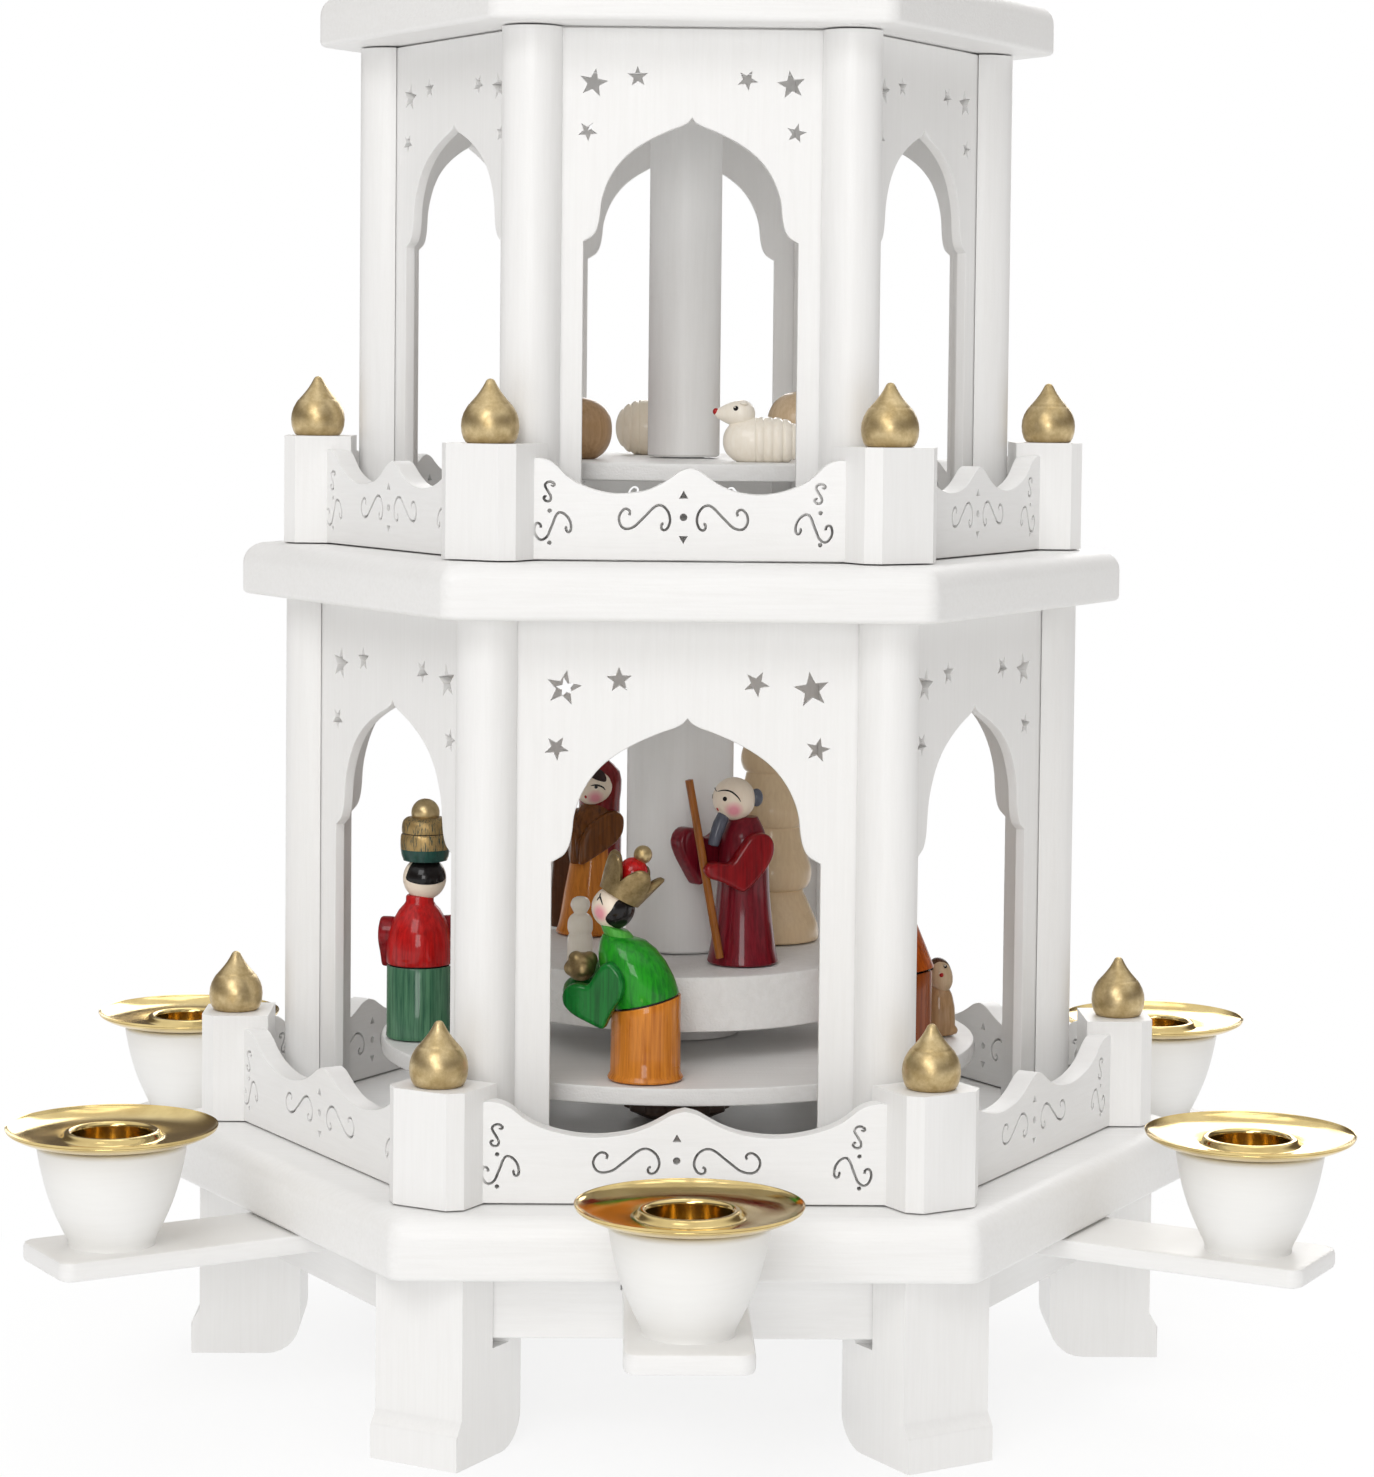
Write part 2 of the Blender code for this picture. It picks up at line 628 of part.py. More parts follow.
def rail(storey):
    """Return one gallery rail standing along +X, waved along its top and let into both posts."""
    face = storey.deck_radius * COS_HALF - RAIL_INSET
    clear = face * TAN_HALF - POST_WIDTH / 2 / COS_HALF
    top = [(clear + RAIL_TENON, RAIL_HEIGHT), *scaled(RAIL_TOP_SHARES, clear, RAIL_HEIGHT)]
    outline = [(-clear - RAIL_TENON, 0), (clear + RAIL_TENON, 0), *mirrored(top)]
    board = plate(outline, (), -RAIL_THICKNESS, 0)
    return moved(board, at(face, 0, SEAT) @ FACING_OUT)


def post(storey):
    """Return one gallery post at the corner along +X, its outer edges chamfered."""
    outer = storey.deck_radius - POST_INSET
    inner, half = outer - POST_DEPTH, POST_WIDTH / 2
    outline = [
        (inner, -half), (outer - POST_CHAMFER, -half), (outer, POST_CHAMFER - half),
        (outer, half - POST_CHAMFER), (outer - POST_CHAMFER, half), (inner, half),
    ]
    return plate(outline, (), SEAT, SEAT + POST_HEIGHT)


def finial(storey):
    """Return the onion finial that stands in a post's top."""
    base = SEAT + POST_HEIGHT
    profile = [(0, base - SINK), *scaled(FINIAL_SHARES, FINIAL_RADIUS, FINIAL_HEIGHT + SINK, base - SINK)]
    onion = moved(turned(profile, SMALL_TURN), at(storey.deck_radius - POST_INSET - FINIAL_INSET, 0, 0))
    for face in onion.faces:
        face.material_index = 1
    return onion


def gallery(storey, materials):
    """Return a storey's rails, posts and finials as one ring."""
    rails = merged(moved(rail(storey), around(a)) for a in FACE_ANGLES)
    posts = merged(moved(post(storey), around(a)) for a in CORNER_ANGLES)
    finials = merged(moved(finial(storey), around(a)) for a in CORNER_ANGLES)
    ring = boolean(posts, rails, "UNION", materials)
    return boolean(ring, finials, "UNION", materials)


# Bearing, shaft, turntables and rotor

def bearing_block():
    """Return the turned block on the base deck, recessed for the bearing cup."""
    recess = (BEARING_CUP_RADIUS + SEAT) / math.cos(math.pi / FINE_TURN)
    floor = BLOCK_HEIGHT - BLOCK_RECESS_DEPTH
    shoulder = BLOCK_HEIGHT / 2
    profile = [
        (0, 0), (BLOCK_RADIUS, 0), (BLOCK_RADIUS, shoulder), (BLOCK_RADIUS - shoulder, BLOCK_HEIGHT),
        (recess, BLOCK_HEIGHT), (recess, floor), (0, floor),
    ]
    return turned(profile, FINE_TURN)


def bearing_cup():
    """Return the cup with the dimple that the needle stands in."""
    profile = [
        (0, 0), (BEARING_CUP_RADIUS, 0), (BEARING_CUP_RADIUS, BEARING_CUP_HEIGHT),
        (BEARING_DIMPLE_RADIUS, BEARING_CUP_HEIGHT), (0, BEARING_CUP_HEIGHT - BEARING_DIMPLE_DEPTH),
    ]
    return turned(profile, FINE_TURN)


def needle():
    """Return the steel point under the shaft, with its tip at zero."""
    length = NEEDLE_BARE_LENGTH + NEEDLE_SOCKET_DEPTH - SEAT
    profile = [(0, 0), (NEEDLE_RADIUS, NEEDLE_TIP_LENGTH), (NEEDLE_RADIUS, length), (0, length)]
    return turned(profile, SMALL_TURN)


def shaft():
    """Return the shaft from above the bearing to the rotor hub, bored for the needle."""
    socket = (NEEDLE_RADIUS + SEAT) / math.cos(math.pi / FINE_TURN)
    roof = SHAFT_BOTTOM + NEEDLE_SOCKET_DEPTH
    profile = [
        (0, roof), (socket, roof), (socket, SHAFT_BOTTOM), (SHAFT_RADIUS, SHAFT_BOTTOM),
        (SHAFT_RADIUS, SHAFT_TOP), (0, SHAFT_TOP),
    ]
    return turned(profile, FINE_TURN)


def table_radius(storey):
    """Return the radius of the turntable that clears the inner faces of a storey's panels."""
    circle = storey.deck_radius - storey.column_inset
    return circle * COS_HALF - PANEL_THICKNESS / 2 - TABLE_CLEARANCE


def turntable(storey):
    """Return a storey's turntable, a disc bored for the shaft."""
    return sleeve(table_radius(storey), SHAFT_BORE_RADIUS, 0, TABLE_THICKNESS, TABLE_TURN)


def lower_step(storey):
    """Return the raised round step with the spacer that it stands on."""
    radius = table_radius(storey) * STEP_RADIUS_SHARE
    top = STEP_SPACER_HEIGHT + STEP_THICKNESS
    profile = [
        (SHAFT_BORE_RADIUS, 0), (STEP_SPACER_RADIUS, 0), (STEP_SPACER_RADIUS, STEP_SPACER_HEIGHT),
        (radius, STEP_SPACER_HEIGHT), (radius, top), (SHAFT_BORE_RADIUS, top),
    ]
    return turned(profile, TABLE_TURN, closed=True)


def roof_bush():
    """Return the flanged bush that steadies the shaft in the roof deck's hole."""
    neck = DECK_HOLE_RADIUS * math.cos(math.pi / (SIDES * len(CORNER_TURNS))) - SEAT
    profile = [
        (SHAFT_BORE_RADIUS, -DECK_THICKNESS), (neck, -DECK_THICKNESS), (neck, SEAT),
        (BUSH_FLANGE_RADIUS, SEAT), (BUSH_FLANGE_RADIUS, SEAT + BUSH_FLANGE_HEIGHT),
        (SHAFT_BORE_RADIUS, SEAT + BUSH_FLANGE_HEIGHT),
    ]
    return turned(profile, FINE_TURN, closed=True)


def rotor_hub():
    """Return the hub, bored from below for the shaft and round its side for the blades' stems."""
    half = HUB_HEIGHT / 2
    bore_top = SHAFT_TOP + SEAT - ROTOR_HEIGHT
    low_edge = arc((HUB_RADIUS - HUB_EDGE_ROUND, HUB_EDGE_ROUND - half), HUB_EDGE_ROUND,
                   -math.pi / 2, 0, ROUND_STEPS)
    profile = [
        (0, bore_top), (SHAFT_BORE_RADIUS, bore_top), (SHAFT_BORE_RADIUS, -half),
        *low_edge, *[(r, -z) for r, z in reversed(low_edge)], (0, half),
    ]
    body = turned(profile, FINE_TURN)
    bore = (STEM_RADIUS + SEAT) / math.cos(math.pi / SIDES)
    sockets = [
        moved(rod(bore, HUB_RADIUS - STEM_SOCKET_DEPTH - SEAT, HUB_RADIUS + OVERRUN, SIDES),
              around(math.tau * k / BLADE_COUNT) @ UP_TO_OUT)
        for k in range(BLADE_COUNT)
    ]
    return boolean(body, merged(sockets), "DIFFERENCE")


def blade():
    """Return a blade along +X, pitched about its stem."""
    root, tip = BLADE_ROOT_WIDTH / 2, BLADE_TIP_WIDTH / 2
    corner = (BLADE_REACH - BLADE_CORNER_ROUND, tip - BLADE_CORNER_ROUND)
    round_tip = arc(corner, BLADE_CORNER_ROUND, 0, math.pi / 2, ROUND_STEPS)
    outline = [(BLADE_START, root), (BLADE_START, -root)]
    outline += [(x, -y) for x, y in reversed(round_tip)] + round_tip
    vane = plate(outline, (), -BLADE_THICKNESS / 2, BLADE_THICKNESS / 2)
    stem = rod(STEM_RADIUS, HUB_RADIUS - STEM_SOCKET_DEPTH, BLADE_START + STEM_LAP, SIDES)
    return moved(boolean(moved(stem, UP_TO_OUT), vane, "UNION"), Matrix.Rotation(BLADE_PITCH, 4, "X"))


def rotor_cap():
    """Return the gold onion on top of the hub."""
    return turned([(0, 0), *scaled(FINIAL_SHARES, CAP_RADIUS, CAP_HEIGHT)], FINE_TURN)


# Figures, each facing along its own +X

def around_place(place_share, radius, height):
    """Return where a figure stands, from its shares of the turntable's radius and the way it faces."""
    x, y, facing = place_share
    return at(radius * x, radius * y, height) @ around(math.radians(facing))


def turned_figure(shares, radius, height):
    """Return a turned body standing on zero."""
    return turned([(0, 0), *scaled(shares, radius, height)], SMALL_TURN)


def with_arms(body, chest, reach, shoulder, hand):
    """Return a body with both arms held forward from the shoulders."""
    arms = merged(
        limb((0, side * chest, shoulder), (reach, side * chest / 2, hand), ARM_RADIUS) for side in (-1, 1)
    )
    return boolean(body, arms, "UNION")


def king(height):
    """Return a crowned king holding a gift in front."""
    return with_arms(
        turned_figure(KING_SHARES, KING_RADIUS, height), KING_RADIUS * CHEST_SHARE, KING_REACH,
        height * KING_SHOULDER_SHARE, height * KING_HAND_SHARE,
    )


def bowing_king():
    """Return the king who leans forward over the gift with the crown tipped back."""
    body = king(GREEN_KING_HEIGHT)
    for vert in body.verts:
        lean = numpy.interp(vert.co.z / GREEN_KING_HEIGHT, BOW_HEIGHT_SHARES, BOW_REACH_SHARES)
        vert.co.x += GREEN_KING_HEIGHT * lean
    return body


def cloaked_king():
    """Return the king whose cloak hides the arms."""
    return turned_figure(CLOAK_SHARES, ORANGE_KING_RADIUS, ORANGE_KING_HEIGHT)


def mother():
    """Return the mother in her robe and hood, arms forward."""
    body = turned_figure(ROBE_SHARES, MOTHER_RADIUS, MOTHER_HEIGHT)
    return with_arms(
        body, MOTHER_RADIUS * CHEST_SHARE, MOTHER_REACH,
        MOTHER_HEIGHT * SHOULDER_SHARE, MOTHER_HEIGHT * HAND_SHARE,
    )


def staff_bearer():
    """Return the bearded figure with a leaning staff held in front."""
    body = turned_figure(ROBE_SHARES, BEARER_RADIUS, BEARER_HEIGHT)
    hand = STAFF_FOOT.lerp(STAFF_TOP, HAND_SHARE)
    arm = limb((0, 0, hand.z), hand, ARM_RADIUS)
    return boolean(boolean(body, arm, "UNION"), limb(STAFF_FOOT, STAFF_TOP, STAFF_RADIUS), "UNION")


def shepherd():
    """Return the shepherd who stands among the sheep."""
    return turned_figure(ROBE_SHARES, SHEPHERD_RADIUS, SHEPHERD_HEIGHT)


def tree():
    """Return the ring-turned tree, whose tiers shrink towards the top."""
    return turned_figure(TREE_SHARES, TREE_RADIUS, TREE_HEIGHT)


def lamb():
    """Return the upright lamb on the step."""
    return turned_figure(LAMB_SHARES, LAMB_RADIUS, LAMB_HEIGHT)


def sheep():
    """Return a ring-turned sheep lying along X with its head raised at +X, flat underneath."""
    half = SHEEP_HEIGHT / 2
    profile = [(half * r, SHEEP_LENGTH / 2 - SHEEP_LENGTH * along) for r, along in FLEECE_SHARES]
    body = moved(turned(profile, SMALL_TURN), at(0, 0, half) @ UP_TO_OUT @ around(math.pi / SMALL_TURN))
    for vert in body.verts:
        rise = numpy.interp(vert.co.x / SHEEP_LENGTH, NECK_ALONG_SHARES, NECK_RISE_SHARES)
        vert.co.z = max(vert.co.z + SHEEP_HEIGHT * rise, SINK)
    return body


def sitting_animal():
    """Return the small animal sitting at the edge of the turntable."""
    return turned_figure(SITTING_SHARES, ANIMAL_RADIUS, ANIMAL_HEIGHT)


def middle_turntable(storey):
    """Return the middle turntable with its sheep."""
    radius = table_radius(storey)
    flock = []
    for place_share in SHEEP_PLACE_SHARES:
        spot = around_place(place_share, radius, TABLE_THICKNESS - 2 * SINK)
        flock.append(moved(sheep(), spot))
    return boolean(turntable(storey), merged(flock), "UNION")


def upper_turntable(storey):
    """Return the upper turntable with its ring of small angels."""
    reach = table_radius(storey) * ANGEL_PLACE_SHARE
    choir = [
        moved(turned_figure(BELL_SHARES, ANGEL_RADIUS, ANGEL_HEIGHT),
              around(math.tau * k / ANGEL_COUNT) @ at(reach, 0, TABLE_THICKNESS - SINK))
        for k in range(ANGEL_COUNT)
    ]
    return boolean(turntable(storey), merged(choir), "UNION")


# The whole object

def build_base():
    """Build the base that stands on the floor: legs, apron, deck, arms and pans."""
    white, brass = [paint("white_paint")], [paint("brass")]
    to_object("base_deck", deck(BASE_DECK_RADIUS, BASE_DECK_THICKNESS, 0), white, at(0, 0, LEG_HEIGHT))
    to_object("apron", apron(), white)
    shared_leg = to_object("leg_1", leg(), white)
    shared_arm = to_object("candle_arm_1", candle_arm(), white, around(FACE_ANGLES[0]))
    pan_place = at(CUP_CENTRE, 0, CUP_TOP)
    shared_pan = to_object("candle_pan_1", candle_pan(), brass, around(FACE_ANGLES[0]) @ pan_place)
    for k in range(1, SIDES):
        place(f"leg_{k + 1}", shared_leg.data, around(CORNER_ANGLES[k]))
        place(f"candle_arm_{k + 1}", shared_arm.data, around(FACE_ANGLES[k]))
        place(f"candle_pan_{k + 1}", shared_pan.data, around(FACE_ANGLES[k]) @ pan_place)


def build_tower():
    """Build the storeys: arcades, galleries and the decks above them."""
    white = [paint("white_paint")]
    for storey in STOREYS:
        lift = at(0, 0, storey.deck_top)
        white_and_gold = [paint("white_paint"), paint("gold_paint")]
        to_object(f"{storey.name}_arcade", arcade(storey), white, lift)
        to_object(f"{storey.name}_gallery", gallery(storey, white_and_gold), white_and_gold, lift)
    for name, radius, top in (
        ("middle_deck", MIDDLE_DECK_RADIUS, MIDDLE_TOP),
        ("upper_deck", UPPER_DECK_RADIUS, UPPER_TOP),
        ("roof_deck", ROOF_DECK_RADIUS, ROOF_TOP),
    ):
        board = deck(radius, DECK_THICKNESS, DECK_HOLE_RADIUS)
        to_object(name, board, white, at(0, 0, top - DECK_THICKNESS))
    to_object("roof_bush", roof_bush(), [paint("dark_wood")], at(0, 0, ROOF_TOP))
    to_object("bearing_block", bearing_block(), [paint("dark_wood")], at(0, 0, BLOCK_BOTTOM))
    to_object("bearing_cup", bearing_cup(), [paint("brass")], at(0, 0, BEARING_CUP_BOTTOM))


def build_carousel(axis):
    """Build what the shaft carries: needle, turntables, sleeves and rotor."""
    lower, middle, upper = STOREYS
    natural, white, gold = [paint("natural_wood")], [paint("white_paint")], [paint("gold_paint")]
    to_object("needle", needle(), [paint("steel")], at(0, 0, NEEDLE_TIP), axis)
    to_object("shaft", shaft(), natural, parent=axis)
    table_bottoms = [storey.deck_top + TABLE_RISE for storey in STOREYS]
    to_object("lower_turntable", turntable(lower), white, at(0, 0, table_bottoms[0]), axis)
    to_object("middle_turntable", middle_turntable(middle), white, at(0, 0, table_bottoms[1]), axis)
    to_object("upper_turntable", upper_turntable(upper), white, at(0, 0, table_bottoms[2]), axis)
    step_bottom = table_bottoms[0] + TABLE_THICKNESS + SEAT
    step_top = step_bottom + STEP_SPACER_HEIGHT + STEP_THICKNESS
    to_object("lower_step", lower_step(lower), white, at(0, 0, step_bottom), axis)
    starts = [step_top + SEAT] + [bottom + TABLE_THICKNESS + SEAT for bottom in table_bottoms[1:]]
    radii = (LOWER_SLEEVE_RADIUS, MIDDLE_SLEEVE_RADIUS, UPPER_SLEEVE_RADIUS)
    for storey, start, radius in zip(STOREYS, starts, radii):
        end = storey.deck_top + storey.height - SLEEVE_HEADROOM
        tube = sleeve(radius, SHAFT_BORE_RADIUS, start, end, FINE_TURN)
        to_object(f"{storey.name}_column", tube, white, parent=axis)
    to_object("rotor_hub", rotor_hub(), natural, at(0, 0, ROTOR_HEIGHT), axis)
    to_object("rotor_cap", rotor_cap(), gold, at(0, 0, HUB_TOP + SEAT), axis)
    shared_blade = to_object("blade_1", blade(), natural, at(0, 0, ROTOR_HEIGHT), axis)
    for k in range(1, BLADE_COUNT):
        turn = at(0, 0, ROTOR_HEIGHT) @ around(math.tau * k / BLADE_COUNT)
        place(f"blade_{k + 1}", shared_blade.data, turn, axis)


def build_figures(axis):
    """Build the loose figures and stand them on the turntable, on its step or among the sheep."""
    lower, middle, _ = STOREYS
    ground = lower.deck_top + TABLE_RISE + TABLE_THICKNESS + SEAT
    raised = ground + STEP_SPACER_HEIGHT + STEP_THICKNESS + SEAT
    cast = (
        ("king_red", king(KING_HEIGHT), "red_paint", ground),
        ("king_green", bowing_king(), "green_paint", ground),
        ("king_orange", cloaked_king(), "orange_stain", ground),
        ("sitting_animal", sitting_animal(), "orange_stain", ground),
        ("mother", mother(), "orange_stain", raised),
        ("staff_bearer", staff_bearer(), "dark_red_paint", raised),
        ("lamb", lamb(), "cream_paint", raised),
    )
    radius = table_radius(lower)
    for name, body, finish, height in cast:
        spot = around_place(LOWER_PLACE_SHARES[name], radius, height)
        to_object(name, body, [paint(finish)], spot, axis)
    bearing = math.radians(TREE_BEARING)
    reach = LOWER_SLEEVE_RADIUS + TREE_GAP + TREE_RADIUS
    spot = around_place((math.cos(bearing), math.sin(bearing), 0), reach, raised)
    to_object("tree", tree(), [paint("natural_wood")], spot, axis)
    height = middle.deck_top + TABLE_RISE + TABLE_THICKNESS + SEAT
    spot = around_place(SHEPHERD_PLACE_SHARE, table_radius(middle), height)
    to_object("shepherd", shepherd(), [paint("dark_red_paint")], spot, axis)


def main():
    clear_scene()
    axis = place("carousel_axis", None, Matrix())
    build_base()
    build_tower()
    build_carousel(axis)
    build_figures(axis)
    bpy.context.view_layer.update()


main()
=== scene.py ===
# %% [markdown]
# # A white candle carousel, piece by piece
# The object is a three-storey wooden tower that turns small figures in the warm air of six candles.
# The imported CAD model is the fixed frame: every piece below takes its place from a CAD node's box, and
# then gives that node the shape, edge and finish that the real piece has.

# %% Load the frame and measure it
import math
from collections import namedtuple

import bmesh
import bpy
from mathutils import Matrix, Vector


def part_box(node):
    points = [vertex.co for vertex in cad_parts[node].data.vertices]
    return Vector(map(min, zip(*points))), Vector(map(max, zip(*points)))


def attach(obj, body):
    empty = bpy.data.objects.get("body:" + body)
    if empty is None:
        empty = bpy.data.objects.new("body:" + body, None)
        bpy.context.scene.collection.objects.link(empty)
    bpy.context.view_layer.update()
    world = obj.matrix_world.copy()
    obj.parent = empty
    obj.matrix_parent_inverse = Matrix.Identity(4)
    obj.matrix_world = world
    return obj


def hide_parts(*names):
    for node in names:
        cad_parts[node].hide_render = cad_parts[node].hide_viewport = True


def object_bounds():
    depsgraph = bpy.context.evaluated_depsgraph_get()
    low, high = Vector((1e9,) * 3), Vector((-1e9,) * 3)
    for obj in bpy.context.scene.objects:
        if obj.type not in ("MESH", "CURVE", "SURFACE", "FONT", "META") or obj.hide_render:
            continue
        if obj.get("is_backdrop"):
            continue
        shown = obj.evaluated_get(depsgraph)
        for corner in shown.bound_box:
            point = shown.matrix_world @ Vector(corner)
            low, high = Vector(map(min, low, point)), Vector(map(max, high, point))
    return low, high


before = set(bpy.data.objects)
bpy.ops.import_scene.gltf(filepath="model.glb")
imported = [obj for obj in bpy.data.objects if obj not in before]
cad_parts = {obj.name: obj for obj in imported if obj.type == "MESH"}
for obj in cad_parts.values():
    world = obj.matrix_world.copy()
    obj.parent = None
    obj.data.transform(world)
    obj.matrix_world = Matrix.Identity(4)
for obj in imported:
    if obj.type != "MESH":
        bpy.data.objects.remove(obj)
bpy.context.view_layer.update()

MM = 0.001
SIDES = (-1, 1)

# %% [markdown]
# ## One way to write node trees
# Materials and Geometry Nodes are both trees of nodes. A small helper adds a node, sets or wires its
# inputs by name, and hands back an output, so that a tree reads from top to bottom like a recipe.


# %% A helper that adds one node
def step(tree, kind, sockets=None, out=0, **settings):
    """Add a node, set or wire its inputs, and return one of its outputs."""
    made = tree.nodes.new(kind)
    for name, value in settings.items():
        setattr(made, name, value)
    for name, value in (sockets or {}).items():
        if isinstance(value, bpy.types.NodeSocket):
            tree.links.new(value, made.inputs[name])
        else:
            made.inputs[name].default_value = value
    return made.outputs[out]


def between(tree, value, start, end, low, high):
    """Return a value spread from one range onto another."""
    return step(tree, "ShaderNodeMapRange", {
        "Value": value, "From Min": start, "From Max": end, "To Min": low, "To Max": high})


def blend(tree, share, first, second):
    """Return a colour between two colours."""
    return step(tree, "ShaderNodeMix", {0: share, 6: first, 7: second}, out=2, data_type="RGBA")


# %% [markdown]
# ## Paint and stain on turned wood
# Nearly everything is limewood or beech under a thin coat, so one recipe serves most finishes. Noise
# stretched along the grain gives the streaks that show through, a slow cloud varies colour and gloss
# where the coat is thicker, and a fine speck is the tooth of a sprayed or brushed surface. All of it
# reads Object coordinates, which stay with a piece when the carousel turns.


# %% A coat over wood
UPRIGHT = (1500, 1500, 70)
LEVEL = (110, 110, 1500)
ALONG_X = (60, 1300, 1300)
CLOUD, TOOTH = 75.0, 2400.0


def new_finish(name):
    """Return a new material, its tree, its shader and the Object coordinates."""
    material = bpy.data.materials.new(name)
    material.use_nodes = True
    tree = material.node_tree
    return material, tree, tree.nodes["Principled BSDF"], step(tree, "ShaderNodeTexCoord", out="Object")


def wire(shader, **outputs):
    """Wire outputs to a shader's inputs, which are named with _ for a space."""
    for name, output in outputs.items():
        shader.id_data.links.new(output, shader.inputs[name.replace("_", " ")])


def wood_coat(name, light, dark, grain=UPRIGHT, show=0.5, relief=0.03, roughness=0.42, fine=1.0, **fixed):
    """Return a coat of paint or stain through which the grain shows as colour and relief."""
    material, tree, shader, place = new_finish(name)
    run = step(tree, "ShaderNodeMapping", {"Vector": place, "Scale": grain})
    streaks = step(tree, "ShaderNodeTexNoise", {
        "Vector": run, "Scale": 1.0, "Detail": 5.0, "Roughness": 0.62, "Distortion": 0.4})
    cloud = step(tree, "ShaderNodeTexNoise", {"Vector": place, "Scale": CLOUD, "Detail": 3.0})
    speck = step(tree, "ShaderNodeTexNoise", {"Vector": place, "Scale": TOOTH * fine, "Detail": 2.0})
    grained = blend(tree, between(tree, streaks, 0.38, 0.72, 0.0, show), (*light, 1), (*dark, 1))
    thin = tuple(0.90 * c + 0.10 * d for c, d in zip(light, dark))
    clouded = blend(tree, between(tree, cloud, 0.42, 0.70, 0.0, 0.30 * show), grained, (*thin, 1))
    gloss = between(tree, cloud, 0.30, 0.70, roughness - 0.05, roughness + 0.07)
    height = step(tree, "ShaderNodeMath", {0: streaks, 1: 0.75, 2: speck}, operation="MULTIPLY_ADD")
    bump = step(tree, "ShaderNodeBump", {"Height": height, "Strength": 1.0, "Distance": relief * MM})
    wire(shader, Base_Color=clouded, Roughness=gloss, Normal=bump)
    for socket, value in fixed.items():
        shader.inputs[socket.replace("_", " ")].default_value = value
    return material


WHITE, SHADE = (0.86, 0.855, 0.845), (0.70, 0.685, 0.66)
white_upright = wood_coat("white_upright_grain", WHITE, SHADE, UPRIGHT, show=0.16, relief=0.022)
white_level = wood_coat("white_level_grain", WHITE, SHADE, LEVEL, show=0.16, relief=0.022)
white_board = wood_coat("white_board_grain", WHITE, SHADE, ALONG_X, show=0.22, relief=0.045)
white_table = wood_coat("white_table_grain", WHITE, SHADE, ALONG_X, show=0.30, relief=0.075, roughness=0.5)
white_rough = wood_coat("white_rough_paint", WHITE, SHADE, (520, 520, 420), show=0.34, relief=0.15,
                        roughness=0.52)
white_cup = wood_coat("white_cup_paint", (0.87, 0.865, 0.845), SHADE, LEVEL, show=0.08, relief=0.012,
                      roughness=0.36)
print("white finishes:", [m.name for m in bpy.data.materials if m.name.startswith("white")])

# %% [markdown]
# ## Gold paint and brass
# The onion knobs are painted: metal flakes in a binder, so a soft highlight broken by a fine mottle.
# The drip pans are real brass sheet, spun and polished, so they mirror the room and carry faint rings
# round their own axis. The rings read an attribute that the pan's mesh stores, its distance from that
# axis, because six pans share one object and no single Object coordinate runs round all of them.


# %% Gold paint
def gold_coat(name, light, dark, roughness):
    """Return a metal-flake paint with a mottle and a slight brushed tooth."""
    material, tree, shader, place = new_finish(name)
    mottle = step(tree, "ShaderNodeTexNoise", {"Vector": place, "Scale": 420.0, "Detail": 6.0,
                                               "Roughness": 0.7})
    flake = step(tree, "ShaderNodeTexVoronoi", {"Vector": place, "Scale": 5200.0})
    colour = blend(tree, between(tree, mottle, 0.35, 0.68, 0.0, 1.0), (*light, 1), (*dark, 1))
    gloss = between(tree, mottle, 0.3, 0.7, roughness - 0.06, roughness + 0.1)
    height = step(tree, "ShaderNodeMath", {0: mottle, 1: 1.6, 2: flake}, operation="MULTIPLY_ADD")
    bump = step(tree, "ShaderNodeBump", {"Height": height, "Strength": 0.8, "Distance": 0.018 * MM})
    wire(shader, Base_Color=colour, Roughness=gloss, Normal=bump)
    shader.inputs["Metallic"].default_value = 0.88
    return material


gold = gold_coat("gold_paint_coat", (0.66, 0.52, 0.29), (0.44, 0.32, 0.145), 0.34)
old_gold = gold_coat("old_gold_coat", (0.42, 0.31, 0.155), (0.20, 0.14, 0.062), 0.40)


# %% Spun brass
def spun_brass(name):
    """Return polished brass with faint rings round the axis that the piece was spun on."""
    material, tree, shader, place = new_finish(name)
    reach = step(tree, "ShaderNodeAttribute", out="Fac", attribute_name="axis_distance")
    grooves = step(tree, "ShaderNodeMath", {0: reach, 1: 2600.0}, operation="MULTIPLY")
    rings = step(tree, "ShaderNodeTexNoise", {"W": grooves, "Scale": 1.0, "Detail": 3.0},
                 noise_dimensions="1D")
    film = step(tree, "ShaderNodeTexNoise", {"Vector": place, "Scale": 160.0, "Detail": 4.0})
    colour = blend(tree, between(tree, film, 0.35, 0.70, 0.0, 1.0), (0.78, 0.61, 0.28, 1),
                   (0.62, 0.46, 0.19, 1))
    gloss = between(tree, film, 0.3, 0.75, 0.10, 0.20)
    bump = step(tree, "ShaderNodeBump", {"Height": rings, "Strength": 0.5, "Distance": 0.006 * MM})
    wire(shader, Base_Color=colour, Roughness=gloss, Normal=bump)
    shader.inputs["Metallic"].default_value = 1.0
    return material


brass = spun_brass("spun_brass")
print("metal finishes:", gold.name, old_gold.name, brass.name)

# %% [markdown]
# ## From outline to mesh
# A lathe and a saw made this object, so two helpers cover most of it. `turned` sweeps a profile round
# an upright axis. `board` fills an outline, gives it thickness and eases its edges, because sanding and
# two coats of paint leave no sharp edge. `curve` rounds a few measured points into a smooth line.


